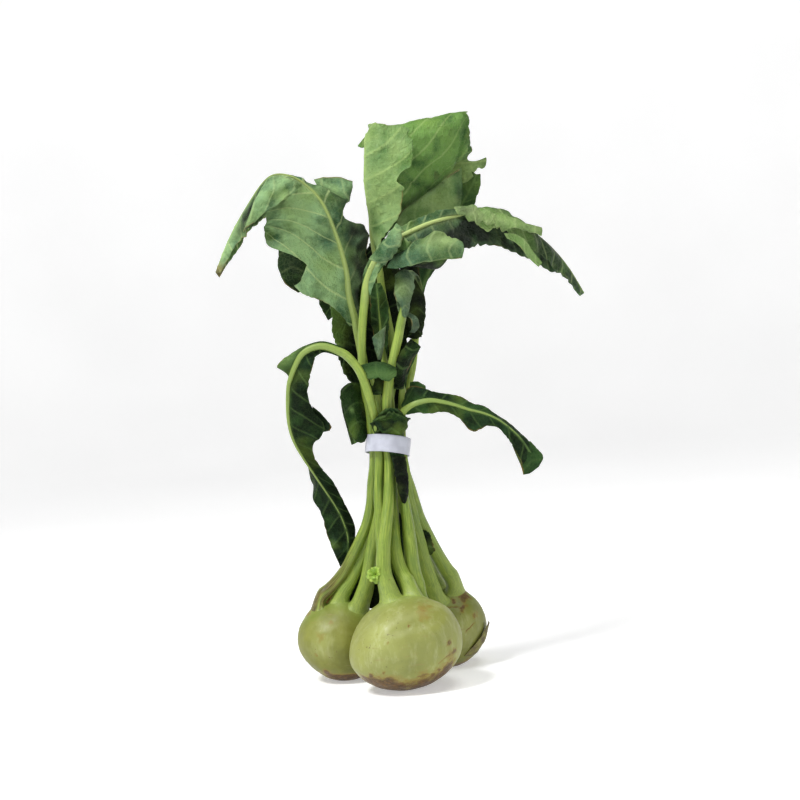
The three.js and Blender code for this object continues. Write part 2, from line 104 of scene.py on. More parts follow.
def rings_of(node, near=None):
    """(rings, start pole, end pole) of a lofted CAD solid, rings in order from the pole nearest
    to `near`, or from the lower pole. All rings begin in line and run the same way round."""
    points, faces = welded(node)
    linked = [set() for _ in points]
    for a, b, c in faces:
        linked[a] |= {b, c}
        linked[b] |= {a, c}
        linked[c] |= {a, b}
    poles = sorted(range(len(points)), key=lambda i: -len(linked[i]))[:2]
    if near is None:
        poles.sort(key=lambda i: points[i][2])
    else:
        poles.sort(key=lambda i: np.linalg.norm(points[i] - near))
    start, end = poles
    after = {}
    for face in faces:
        if start in face:
            k = face.index(start)
            after[face[(k + 2) % 3]] = face[(k + 1) % 3]
    first = [min(after)]
    while after[first[-1]] != first[0]:
        first.append(after[first[-1]])
    seen = {start} | set(first)
    rings = [first]
    while True:
        level = {j for i in rings[-1] for j in linked[i]} - seen
        if end in level or not level:
            break
        seen |= level
        walk = [min(level)]
        left = set(level) - {walk[0]}
        while left:
            step_to = [j for j in linked[walk[-1]] if j in left]
            walk.append(min(step_to, key=lambda j: np.linalg.norm(points[j] - points[walk[-1]])))
            left.discard(walk[-1])
        was = points[rings[-1]]
        options = []
        for way in (walk, walk[::-1]):
            for turn in range(len(way)):
                turned = way[turn:] + way[:turn]
                options.append((float(((points[turned] - was) ** 2).sum()), turned))
        rings.append(min(options)[1])
    return np.array([points[r] for r in rings]), points[start], points[end]


def smooth(points, at):
    """The Catmull-Rom curve through points[0], points[1] and so on, at parameters `at`."""
    at = np.asarray(at, float)
    n = len(points)
    k = np.clip(np.floor(at).astype(int), 0, n - 2)
    t = (at - k).reshape((-1,) + (1,) * (points.ndim - 1))
    a, b = points[k], points[k + 1]
    before = np.where((k > 0).reshape(t.shape), points[np.maximum(k - 1, 0)], 2 * a - b)
    after = np.where((k < n - 2).reshape(t.shape), points[np.minimum(k + 2, n - 1)], 2 * b - a)
    m0, m1 = (b - before) / 2, (after - a) / 2
    t2, t3 = t * t, t * t * t
    return (
        (2 * t3 - 3 * t2 + 1) * a + (t3 - 2 * t2 + t) * m0
        + (3 * t2 - 2 * t3) * b + (t3 - t2) * m1
    )


def surface(net, at_row, at_col):
    """The same curve both ways over a net of points, at matching arrays of parameters."""
    net = np.concatenate([2 * net[:1] - net[1:2], net, 2 * net[-1:] - net[-2:-1]])
    net = np.concatenate([2 * net[:, :1] - net[:, 1:2], net, 2 * net[:, -1:] - net[:, -2:-1]], 1)

    def shares(at, n):
        k = np.clip(np.floor(at).astype(int), 0, n - 4)
        t = at - k
        t2, t3 = t * t, t * t * t
        return k, ((-t + 2 * t2 - t3) / 2, (2 - 5 * t2 + 3 * t3) / 2,
                   (t + 4 * t2 - 3 * t3) / 2, (t3 - t2) / 2)

    k, rows = shares(at_row, net.shape[0])
    j, cols = shares(at_col, net.shape[1])
    total = 0
    for a in range(4):
        for b in range(4):
            total = total + (rows[a] * cols[b])[..., None] * net[k + a, j + b]
    return total


def unit(v):
    """Vectors of length 1 in the same directions."""
    return v / np.maximum(np.linalg.norm(v, axis=-1, keepdims=True), 1e-9)


def stem_axis(node):
    """Centres and radii of a CAD stem's rings."""
    rings, _, _ = rings_of(node)
    centres = rings.mean(1)
    radii = np.linalg.norm(rings - centres[:, None], axis=-1).mean(1)
    return centres, radii


WING = 4                  # CAD facets from a leaf's rib to its edge
ROW = 2 * WING + 1        # points across a leaf
SKIN = ROW + 2            # points across its front skin, which has two more beside the rib
CAD_SHEET = 0.84          # thickness of a CAD leaf beside its rib


def leaf_rows(node, near):
    """Middle surface of a CAD leaf, (stations, ROW, 3) from the left edge to the right one, and
    the way towards its front at each point."""
    rings, _, _ = rings_of(node, near)
    size = rings.shape[1]

    def margins(offset):
        r = np.roll(rings, -offset, axis=1)
        left = np.linalg.norm(r[:, 0] - r[:, -1], axis=-1)
        right = np.linalg.norm(r[:, SKIN - 1] - r[:, SKIN], axis=-1)
        return float((left + right).sum())

    rings = np.roll(rings, -min(range(size), key=margins), axis=1)
    back = rings[:, SKIN:][:, ::-1]
    skin = rings[:, :SKIN]
    front = np.concatenate([skin[:, :WING], skin[:, WING + 1:WING + 2], skin[:, WING + 3:]], 1)
    middle = (front + back) / 2
    out = unit(front - back)
    depth = np.linalg.norm(front[:, WING] - back[:, WING], axis=-1)
    middle[:, WING] = back[:, WING] + out[:, WING] * np.minimum(depth, CAD_SHEET)[:, None] / 2
    return middle, out


# ---- making meshes ------------------------------------------------------------------------------
def new_piece(name, points, faces, material, layers):
    """A smooth mesh piece that stands for the CAD node of its name and carries point attributes.
    Points are in mm and faces are arrays of corners, one array for each number of corners."""
    mesh = bpy.data.meshes.new(name)
    mesh.vertices.add(len(points))
    mesh.vertices.foreach_set("co", (np.asarray(points, float) * MM).astype(np.float32).ravel())
    corners = np.concatenate([np.asarray(f, np.int32).ravel() for f in faces])
    sizes = np.concatenate([np.full(len(f), np.shape(f)[1], np.int32) for f in faces])
    mesh.loops.add(len(corners))
    mesh.loops.foreach_set("vertex_index", corners)
    mesh.polygons.add(len(sizes))
    starts = np.concatenate([[0], np.cumsum(sizes)[:-1]]).astype(np.int32)
    mesh.polygons.foreach_set("loop_start", starts)
    mesh.update(calc_edges=True)
    mesh.polygons.foreach_set("use_smooth", np.full(len(sizes), True))
    for key, values in layers.items():
        values = np.asarray(values, np.float32)
        kind, field = ("FLOAT", "value") if values.ndim == 1 else ("FLOAT_VECTOR", "vector")
        mesh.attributes.new(key, kind, "POINT").data.foreach_set(field, values.ravel())
    mesh.materials.append(material)
    piece = bpy.data.objects.new(name, mesh)
    bpy.context.scene.collection.objects.link(piece)
    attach(piece, "root")
    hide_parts(name)


def tube_faces(rings, around):
    """Quads of a tube whose points run round it ring by ring."""
    i = np.arange(rings - 1)[:, None]
    j = np.arange(around)[None, :]
    k = (j + 1) % around
    low, high = i * around, (i + 1) * around
    return np.stack([low + j, low + k, high + k, high + j], -1).reshape(-1, 4)


def new_tube(name, rings, tips, material, layers):
    """A piece whose points run round it ring by ring, closed by a tip at each end."""
    count, around = rings.shape[:2]
    last = (count - 1) * around
    j = np.arange(around)
    k = (j + 1) % around
    start = 0 * j + count * around
    ends = np.concatenate([np.stack([k, j, start], -1), np.stack([last + j, last + k, start + 1], -1)])
    points = np.concatenate([rings.reshape(-1, 3), tips])
    layers = {key: np.concatenate([value, value[:1], value[-1:]]) for key, value in layers.items()}
    new_piece(name, points, [tube_faces(count, around), ends], material, layers)


# ---- materials ----------------------------------------------------------------------------------
class Shade:
    """A small builder for one node material. Where a method takes a value, it may be a number, a
    colour or another node's output."""

    def __init__(self, name):
        self.material = bpy.data.materials.new(name)
        self.material.use_nodes = True
        self.tree = self.material.node_tree
        self.tree.nodes.clear()
        out = self.tree.nodes.new("ShaderNodeOutputMaterial")
        self.shader = self.tree.nodes.new("ShaderNodeBsdfPrincipled")
        self.tree.links.new(self.shader.outputs[0], out.inputs[0])

    def put(self, socket, value):
        if isinstance(value, bpy.types.NodeSocket):
            self.tree.links.new(value, socket)
        elif socket.type == "RGBA" and len(value) == 3:
            socket.default_value = (*value, 1.0)
        else:
            socket.default_value = value

    def node(self, kind, inputs, out=0, **settings):
        """One output of a new node whose inputs are given by name or number."""
        made = self.tree.nodes.new("ShaderNode" + kind)
        for key, value in settings.items():
            setattr(made, key, value)
        for key, value in inputs.items():
            self.put(made.inputs[key], value)
        return made.outputs[out]

    def attribute(self, name, out="Fac"):
        return self.node("Attribute", {}, out, attribute_name=name)

    def place(self):
        return self.node("TexCoord", {}, "Object")

    def math(self, operation, *values, clamp=False):
        return self.node("Math", dict(enumerate(values)), operation=operation, use_clamp=clamp)

    def scaled(self, vector, scale):
        return self.node("VectorMath", {0: vector, 1: scale}, operation="MULTIPLY")

    def noise(self, vector, scale, detail, roughness):
        inputs = dict(Vector=vector, Scale=scale, Detail=detail, Roughness=roughness)
        return self.node("TexNoise", inputs)

    def net(self, vector, scale, width):
        """Lines of a width between cells, 1 along their middle."""
        inputs = dict(Vector=vector, Scale=scale, Randomness=1.0)
        edges = self.node("TexVoronoi", inputs, "Distance", feature="DISTANCE_TO_EDGE")
        return self.range(edges, 0.01, width, 1.0, 0.0)

    def ramp(self, value, *stops):
        """stops are (position, colour)."""
        socket = self.node("ValToRGB", {0: value})
        items = socket.node.color_ramp.elements
        while len(items) < len(stops):
            items.new(0.5)
        for item, (position, colour) in zip(items, stops):
            item.position = position
            item.color = (*colour, 1)
        return socket

    def mix(self, share, a, b):
        return self.node("Mix", {0: share, 6: a, 7: b}, 2, data_type="RGBA")

    def range(self, value, low, high, to_low=0.0, to_high=1.0):
        return self.node("MapRange", dict(enumerate((value, low, high, to_low, to_high))))

    def over(self, colour, tint, value, low, high, most=1.0):
        """`colour` with `tint` laid over it as `value` goes from low to high, `most` at most."""
        return self.mix(self.range(value, low, high, 0.0, most), colour, tint)

    def bump(self, height, strength, distance, **others):
        return self.node("Bump", dict(Height=height, Strength=strength, Distance=distance, **others))

    def finish(self, colour, roughness, **others):
        """The material, its shader's other inputs being given by name."""
        for key, value in dict(Base_Color=colour, Roughness=roughness, **others).items():
            self.put(self.shader.inputs[key.replace("_", " ")], value)
        return self.material


def srgb(r, g, b):
    """Linear colour from 0-255 display values."""
    def line(c):
        c /= 255
        return c / 12.92 if c <= 0.04045 else ((c + 0.055) / 1.055) ** 2.4
    return (line(r), line(g), line(b))


def leaf_material(name, colours, gloss=0.3, netting=1.0):
    """colours are dark and light of the lower side, dark and light of the upper side, the veins'
    and the painted shade's; netting is the strength of the finest veins."""
    m = Shade(name)
    under, paler_under, upper, paler_upper, vein, shade = (srgb(*colour) for colour in colours)
    spot = m.attribute("leafmap", "Vector")
    place = m.place()
    cloud = m.noise(place, 55.0, 4.0, 0.6)
    patches = m.noise(place, 210.0, 4.0, 0.65)
    mottle = m.math("MULTIPLY_ADD", cloud, 0.65, m.math("MULTIPLY", patches, 0.35))
    mottle = m.math("MULTIPLY_ADD", mottle, 2.6, -0.8)
    # the tone attribute is random mottle plus painted light and painted shade from the marks and creases
    mottle = m.math("MULTIPLY_ADD", m.attribute("tone"), 0.7, mottle, clamp=True)
    r, g, b = paler_under
    waxy = (0.9 * r, 1.08 * g, 1.5 * b + 0.01)
    below = m.mix(mottle, under, paler_under)
    below = m.over(below, waxy, m.noise(place, 48.0, 4.0, 0.65), 0.45, 0.7, 0.3)
    colour = m.mix(m.attribute("side"), below, m.mix(mottle, upper, paler_upper))
    colour = m.over(colour, srgb(120, 146, 58), m.noise(place, 38.0, 2.0, 0.5), 0.52, 0.68, 0.35)
    net, fine = m.net(spot, 0.30, 0.10), m.net(spot, 0.85, 0.12)
    web = m.math("MULTIPLY_ADD", fine, 0.05 * netting, m.math("MULTIPLY", net, 0.09 * netting))
    colour = m.mix(web, colour, vein)
    across = m.math("PINGPONG", m.attribute("vein_path"), 0.5)
    across = m.math("DIVIDE", across, m.attribute("vein_wide"))
    lateral = m.math("MULTIPLY", m.range(across, 0.4, 1.3, 1.0, 0.0), m.attribute("lateral"))
    lines = m.math("MAXIMUM", m.attribute("vein"), lateral)
    colour = m.mix(m.math("MULTIPLY", lines, 0.75, clamp=True), colour, vein)
    # the pale attribute is the real pale rim plus painted light and painted highlights from the pale marks
    colour = m.mix(m.attribute("pale"), colour, vein)
    # painted shade: the dark attribute darkens folds, hollows and leaves that lie behind others
    colour = m.mix(m.math("MULTIPLY", m.attribute("dark"), 0.95, clamp=True), colour, shade)
    colour = m.over(colour, srgb(70, 66, 34), m.noise(place, 800.0, 1.0, 0.5), 0.72, 0.77, 0.5)
    dry = m.mix(m.range(patches, 0.4, 0.6), srgb(92, 68, 34), srgb(142, 116, 62))
    colour = m.mix(m.attribute("dry"), colour, dry)
    height = m.math("MULTIPLY_ADD", fine, -0.3, m.math("MULTIPLY", net, -0.6))
    height = m.math("MULTIPLY_ADD", m.noise(place, 650.0, 3.0, 0.5), 0.6, height)
    sheen = m.range(m.noise(place, 120.0, 3.0, 0.6), 0.3, 0.7, 0.40, 0.60)
    crumple = m.math("ABSOLUTE", m.math("SUBTRACT", m.noise(place, 65.0, 3.0, 0.6), 0.5))
    folds = m.bump(crumple, 0.8, 0.007)
    surface = m.bump(height, 0.7, 0.0008, Normal=folds)
    return m.finish(colour, sheen, Normal=surface, Specular_IOR_Level=gloss)


def stalk_material():
    """Fibrous green; `up` is 0 at the foot, 1 at the end of the stem and more along the rib."""
    m = Shade("stalk_skin")
    where = m.attribute("stalkmap", "Vector")
    up = m.attribute("up")
    fibres = m.noise(m.scaled(where, (1.6, 1.6, 0.05)), 1.0, 3.0, 0.6)
    streaks = m.noise(m.scaled(where, (2.6, 2.6, 0.03)), 1.0, 2.0, 0.6)
    cloud = m.noise(m.place(), 70.0, 3.0, 0.6)
    base = m.ramp(up, (0.0, srgb(142, 156, 84)), (0.12, srgb(116, 138, 50)),
                  (0.5, srgb(92, 118, 32)), (1.0, srgb(130, 154, 64)))
    colour = m.over(base, srgb(156, 172, 74), fibres, 0.4, 0.7, 0.8)
    grown = m.range(up, 0.0, 0.12, 0.2, 1.0)
    for value, low, high, most, tint in ((streaks, 0.54, 0.68, 0.6, srgb(80, 108, 46)),
                                         (cloud, 0.5, 0.72, 0.5, srgb(86, 116, 50))):
        share = m.math("MULTIPLY", m.range(value, low, high, 0.0, most), grown)
        colour = m.mix(share, colour, tint)
    rib = m.mix(m.attribute("light"), srgb(78, 106, 36), srgb(178, 194, 128))
    colour = m.over(colour, rib, up, 0.97, 1.15, 0.6)
    specks = m.noise(m.place(), 700.0, 2.0, 0.5)
    colour = m.over(colour, srgb(104, 92, 46), specks, 0.66, 0.72, 0.6)
    withered = m.mix(m.range(fibres, 0.4, 0.62), srgb(48, 34, 10), srgb(110, 96, 44))
    colour = m.mix(m.attribute("dark"), colour, withered)
    height = m.math("MULTIPLY_ADD", cloud, 0.3, fibres)
    sheen = m.range(fibres, 0.3, 0.7, 0.34, 0.5)
    return m.finish(colour, sheen, Normal=m.bump(height, 0.45, 0.0006), Specular_IOR_Level=0.35,
                    Coat_Weight=0.04, Coat_Roughness=0.3)


def bulb_material():
    """Waxy green skin, paler or greener in places, with scuffs, specks, scratches and cork."""
    m = Shade("bulb_skin")
    place = m.place()
    large = m.noise(place, 24.0, 2.0, 0.5)
    fine = m.noise(place, 160.0, 4.0, 0.6)
    colour = m.mix(m.range(large, 0.35, 0.65), srgb(87, 90, 22), srgb(114, 116, 40))
    colour = m.over(colour, srgb(142, 146, 66), fine, 0.42, 0.8, 0.35)
    colour = m.mix(m.attribute("pale"), colour, srgb(158, 164, 96))
    colour = m.mix(m.attribute("green"), colour, srgb(122, 146, 66))
    scuffs = m.noise(m.scaled(place, (190.0, 190.0, 60.0)), 1.0, 4.0, 0.7)
    scuffs = m.math("MULTIPLY", m.range(scuffs, 0.5, 0.72, 0.0, 0.6), m.attribute("pale"))
    colour = m.mix(scuffs, colour, srgb(186, 190, 146))
    specks = m.noise(place, 480.0, 2.0, 0.5)
    colour = m.over(colour, srgb(96, 84, 44), specks, 0.69, 0.74, 0.7)
    scratch = m.noise(m.scaled(place, (70.0, 70.0, 420.0)), 1.0, 2.0, 0.5)
    colour = m.over(colour, srgb(136, 122, 72), scratch, 0.68, 0.75, 0.45)
    grain = m.noise(place, 420.0, 4.0, 0.65)
    cork = m.math("ADD", m.attribute("cork"), m.math("MULTIPLY_ADD", grain, 1.1, -0.55))
    colour = m.over(colour, srgb(130, 106, 40), cork, 0.1, 0.6, 0.7)
    corky = m.mix(m.range(grain, 0.35, 0.65), srgb(44, 26, 12), srgb(104, 74, 36))
    share = m.range(cork, 0.55, 0.85, 0.0, 0.92)
    colour = m.mix(share, colour, corky)
    rough_part = m.math("MULTIPLY", m.math("MULTIPLY", grain, share), 1.2)
    height = m.math("MULTIPLY_ADD", fine, 0.4, rough_part)
    sheen = m.range(fine, 0.35, 0.7, 0.38, 0.55)
    return m.finish(colour, sheen, Normal=m.bump(height, 0.35, 0.0007), Specular_IOR_Level=0.32)


def tape_material():
    m = Shade("tape_film")
    place = m.place()
    grain = m.noise(m.scaled(place, (300.0, 300.0, 900.0)), 1.0, 3.0, 0.6)
    cloud = m.noise(place, 120.0, 3.0, 0.5)
    colour = m.mix(m.range(cloud, 0.35, 0.65), srgb(166, 168, 180), srgb(184, 187, 198))
    sheen = m.range(grain, 0.3, 0.7, 0.26, 0.4)
    return m.finish(colour, sheen, Normal=m.bump(grain, 0.2, 0.0003), Specular_IOR_Level=0.5)


def grainy(name, dark, light, scale, sheen):
    """A plain organic finish between two colours."""
    m = Shade(name)
    grain = m.noise(m.place(), scale, 4.0, 0.6)
    colour = m.mix(m.range(grain, 0.35, 0.65), dark, light)
    gloss = m.range(grain, 0.3, 0.7, sheen - 0.08, sheen + 0.08)
    return m.finish(colour, gloss, Normal=m.bump(grain, 0.5, 0.0005))


# of each kind of leaf, in the order that leaf_material gives; the darkest is painted shade
LEAF_COLOURS = {
    "leaf_mid": [(40, 78, 40), (136, 170, 112), (24, 54, 18), (84, 124, 54), (176, 196, 132), (10, 18, 8)],
    "leaf_light": [(64, 104, 42), (126, 154, 90), (36, 78, 24), (98, 138, 62), (160, 184, 112),
                   (14, 28, 12)],
    "leaf_dark": [(11, 27, 9), (48, 77, 35), (7, 19, 5), (32, 58, 20), (104, 134, 74), (4, 8, 3)],
    "leaf_grey": [(40, 66, 38), (104, 130, 92), (20, 42, 17), (66, 96, 48), (140, 160, 106), (10, 18, 8)],
}
# how glossy each is and how strong its finest veins are, where that is not as usual
LEAF_FINISH = {"leaf_mid": (0.25,), "leaf_light": (0.25,), "leaf_dark": (0.08, 0.5), "leaf_grey": ()}
LEAF_SLOTS = {name: leaf_material(name, colours, *LEAF_FINISH[name])
              for name, colours in LEAF_COLOURS.items()}
STALK = stalk_material()
BULB = bulb_material()


# ---- leaves -------------------------------------------------------------------------------------
ORIGIN = np.array([-20.59, -7.475, 0.0])      # of the listed points below
FORWARD = np.array([0.0, -1.0, 0.0])          # the way the bunch faces
BLADE_GRID, FLAP_GRID = 1.3, 1.2              # mm between the points of a blade and of a flap
SHEET = 0.32                                  # half the thickness of a blade at its rib
VEIN_BEND = 0.006                             # how much the side veins curve
QUILT = 0.5                                   # how far a blade sinks between them


def margin(length, width, seed, tooth, lobe):
    """How far a margin stands in at distances `length` along it: soft lobes with small teeth on
    them. tooth and lobe are (period, depth)."""
    wander = length + 2.5 * noise(along(length, seed), 14.0, seed)
    lobes = lobe[1] * (0.5 + 0.5 * noise(along(wander, seed + 1), lobe[0] / 2, seed + 1))
    phase = wander / tooth[0] + 0.6 * noise(along(length, seed), 9.0, seed + 2)
    saw = np.abs((phase % 1.0) - 0.3) / 0.7
    depth = tooth[1] * (0.3 + np.abs(noise(along(length, seed), 12.0, seed + 3)) * 1.1)
    return (lobes + depth * saw) * step(2, 12, width)


def arc(points, axis):
    """Running length along an axis of a grid of points."""
    gaps = np.linalg.norm(np.diff(points, axis=axis), axis=-1)
    zero = np.zeros_like(np.take(gaps, [0], axis=axis))
    return np.concatenate([zero, np.cumsum(gaps, axis=axis)], axis=axis)


def normals(points):
    """Normals of a grid, evened out a little."""
    normal = unit(np.cross(np.gradient(points, axis=0), np.gradient(points, axis=1)))
    for _ in range(2):
        wide = np.pad(normal, ((1, 1), (1, 1), (0, 0)), mode="edge")
        normal = unit(wide[1:-1, 1:-1] * 2 + wide[:-2, 1:-1] + wide[2:, 1:-1]
                      + wide[1:-1, :-2] + wide[1:-1, 2:])
    return normal


def shell(keep, rows, cols):
    """Quads of two facing grids, joined by walls wherever a kept cell meets no other."""
    size = rows * cols
    i, j = np.nonzero(keep)
    a, b = i * cols + j, i * cols + j + 1
    d, c = a + cols, b + cols
    front = np.stack([a, d, c, b], -1)
    back = np.stack([a, b, c, d], -1) + size
    walls = []
    around = np.pad(keep, 1)
    for di, dj, p, q in ((-1, 0, a, b), (1, 0, c, d), (0, -1, d, a), (0, 1, b, c)):
        free = ~around[i + 1 + di, j + 1 + dj]
        walls.append(np.stack([p, q, q + size, p + size], -1)[free])
    return np.concatenate([front, back] + walls)


def vein_path(x, y, u, map3, gap, slant, rib, seed):
    """A value that is whole along each side vein and half-way between two of them."""
    far = np.abs(y)
    path = (x - far * slant * (1 - 0.3 * u) - VEIN_BEND * far**2) / gap
    path = path + np.where(y < 0, 0, 0.5 if rib else 0)
    return path + 0.25 * noise(map3, 30.0, seed + 31)


def leaf_shades(u, v, edge, map3, tone, marks, seed):
    """A leaf's dry and pale rim, its painted shade and painted light from the marks, and its tone,
    which is random mottle plus painted light and shade, at each point.
    """
    clouds = 0.8 * rough(map3, 34.0, seed + 51) + 0.75 * rough(map3, 9.0, seed + 59)
    rim = step(0.955, 1.0, edge)
    shades = {"tone": tone + clouds - 0.15 * u,
              "dry": rim * step(0.15, 0.5, noise(map3, 12.0, seed + 53)) * 0.7,
              "pale": 0.3 * rim * step(-0.5, 0.4, noise(map3, 20.0, seed + 57)),
              "dark": 0 * rim}
    # dark marks paint shade; pale and tone marks paint light and shade
    for kind, mu, mv, ru, rv, amount in marks:
        patch = np.exp(-(((u - mu) / ru) ** 2 + ((v - mv) / rv) ** 2))
        shades[kind] = shades[kind] + amount * patch * (0.8 + 0.4 * noise(map3, 6.0, seed + 55))
    return {key: np.clip(value, -1 if key == "tone" else 0, 1) for key, value in shades.items()}


def unpunched(grid, y, holes, seed):
    """Which cells of a grid are left when its holes are made."""
    keep = np.ones((grid.shape[0] - 1, grid.shape[1] - 1), bool)
    for wing, hx, hz, radius in holes:
        cell = (grid[1:, 1:] + grid[:-1, 1:] + grid[1:, :-1] + grid[:-1, :-1]) / 4
        wobble = 1 + 0.4 * noise(cell, 2.5, seed + 61)
        gap = np.hypot(cell[..., 0] - hx - ORIGIN[0], cell[..., 2] - hz)
        this = (y[1:, 1:] < 0) if wing == 0 else (y[1:, 1:] >= 0)
        keep &= ~((gap < radius * wobble) & this)
    return keep


def blade(grid, x, y, u, v, edge, width, toward, seed, ruffle=(24.0, 1.6), vein_gap=15.0, slant=0.75,
          rib=True, crease=1.2, holes=(), marks=(), veins=0.8, upper=False, tone=0.0, relief=1.0):
    """Points, faces and attributes of a leaf skin round a grid. x runs along it and y across it
    in mm, u from 0 to 1 and v from -1 to 1, edge is 1 at the margins and `toward` points out of
    its front on the whole. holes are (wing, x, z, radius) and marks are (attribute, u, v, size
    along, size across, amount). Dark marks are painted shade, pale marks painted light and
    highlights, and tone and tone marks painted light above 0 and painted shade below 0."""
    normal = normals(grid)
    turned = 1.0 if float((normal * toward).sum(-1).mean()) > 0 else -1.0
    normal = normal * turned
    far = np.abs(y)
    map3 = np.stack([x, y, np.full_like(x, 7.0 * seed)], -1)
    path = vein_path(x, y, u, map3, vein_gap, slant, rib, seed)
    nearest = np.abs(path - np.round(path)) * vein_gap * 0.8
    reach = 1 - step(0.75, 1.0, np.abs(v))
    strong = 0.3 + 0.7 * reach
    lateral = np.exp(-((nearest / (0.7 + 0.4 * reach)) ** 2)) * strong
    between = 1 - np.exp(-((nearest / (0.28 * vein_gap)) ** 2))
    rib_line = np.exp(-((far / (0.8 + 1.2 * (1 - u))) ** 2)) if rib else 0 * far
    soft = (step(0, 8, far) if rib else 1.0) * step(1.5, 14, width)
    fade = step(0, 0.04, u) * step(0, 0.05, 1 - u)
    wave = ruffle[1] * step(0.3, 1.0, np.abs(v)) * step(4, 20, width)
    turns = 2 * math.pi * (x / ruffle[0]) + 2.4 * noise(map3, 40.0, seed + 41) + 1.7 * (y > 0)
    lift = wave * (np.sin(turns) + 0.6 * noise(map3, 9.0, seed + 43)) - QUILT * between * soft
    swells = 1.7 * noise(map3, 26.0, seed + 45) + 0.5 * noise(map3, 12.0, seed + 46)
    lift = lift + soft * relief * (swells + 0.3 * rough(map3, 6.0, seed + 47))
    folds = np.clip(1 - 2.2 * np.abs(noise(map3, 26.0, seed + 49)), 0, 1) ** 3
    lift = (lift + crease * folds * soft) * fade
    grid = grid + normal * lift[..., None]
    normal = normals(grid) * turned
    half = SHEET * (1 - 0.5 * np.abs(v)) * (0.6 + 0.4 * fade)
    front = grid + normal * (half + 0.35 * lateral * step(0, 5, width))[..., None]
    back = grid - normal * (half - 0.12 * lateral)[..., None]
    quads = shell(unpunched(grid, y, holes, seed), *grid.shape[:2])
    if turned > 0:
        quads = quads[:, ::-1]
    # painted shade: the tone is lowered along the creases
    layers = leaf_shades(u, v, edge, map3, tone - 0.5 * folds * soft, marks, seed)
    layers.update(vein=0.9 * rib_line, lateral=veins * strong, vein_path=path,
                  vein_wide=(0.35 + 0.45 * reach) / (0.8 * vein_gap))
    layers = {key: np.tile(value.ravel(), 2) for key, value in layers.items()}
    layers["side"] = np.repeat([1.0, 0.0] if upper else [0.0, 1.0], x.size)
    layers["leafmap"] = np.tile(map3.reshape(-1, 3), (2, 1))
    used, index = np.unique(quads, return_inverse=True)
    points = np.concatenate([front.reshape(-1, 3), back.reshape(-1, 3)])[used]
    return points, index.reshape(-1, 4), {key: value[used] for key, value in layers.items()}


def cad_blade(node, near, seed, tooth=(6.0, 1.2), lobe=(22.0, 2.4), bites=(), **spec):
    """The blade of a CAD leaf, and its rib line with the way out of it. bites are (wing, u, reach
    in u, depth as a share of the wing)."""
    rows, out = leaf_rows(node, near)
    n = len(rows)
    many = np.linspace(0, n - 1, 8 * n)
    gaps = np.linalg.norm(np.diff(smooth(rows, many), axis=0), axis=-1)
    pace = np.concatenate([[0], np.cumsum((gaps.max(1) + gaps.mean(1)) / 2)])
    count = int(np.clip(pace[-1] / BLADE_GRID, 24, 220))
    at = np.interp(np.linspace(0, pace[-1], count), pace, many)
    lines = smooth(rows, at)
    gaps = np.linalg.norm(np.diff(lines, axis=1), axis=-1)
    widths = [gaps[:, :WING].sum(1), gaps[:, WING:].sum(1)]
    steps = int(np.clip(max(w.max() for w in widths) / BLADE_GRID, 8, 70))
    share = np.linspace(0, 1, steps + 1) ** 1.15
    u = at / (n - 1)
    ends = step(0, 0.04, u) * step(0, 0.05, 1 - u)
    grids, across = [], []
    for w in (0, 1):
        net = rows[:, WING::-1] if w == 0 else rows[:, WING:]
        edge = arc(lines[:, 0 if w == 0 else -1], 0)
        inset = margin(edge, widths[w], seed + 20 * w, tooth, lobe)
        for wing, centre, reach, depth in bites:
            if wing == w:
                bite = np.clip(1 - np.abs(u - centre) / reach, 0, 1) ** 0.6
                inset = inset + depth * widths[w] * bite
        inset = np.minimum(inset * (0.25 + 0.75 * ends), 0.85 * widths[w])
        s = share[None] * (1 - inset / np.maximum(widths[w], 0.5))[:, None]
        grids.append(surface(net, np.repeat(at[:, None], steps + 1, 1), s * WING))
        across.append(s)
    grid = np.concatenate([grids[0][:, ::-1], grids[1][:, 1:]], axis=1)
    v = np.concatenate([-across[0][:, ::-1], across[1][:, 1:]], axis=1)
    width = np.where(v < 0, widths[0][:, None], widths[1][:, None])
    rib_at = arc(lines[:, WING], 0)
    x = np.repeat(rib_at[:, None], v.shape[1], 1)
    k = np.clip(np.round(at).astype(int), 0, n - 1)
    toward = np.concatenate([np.repeat(out[k][:, WING - 1:WING], steps, 1),
                             np.repeat(out[k][:, WING + 1:WING + 2], steps + 1, 1)], 1)
    edge = np.repeat(np.concatenate([share[::-1], share[1:]])[None], count, 0)
    made = blade(grid, x, v * width, u[:, None] + 0 * v, v, edge, width, toward, seed, **spec)
    return made, lines[:, WING], out[k][:, WING]


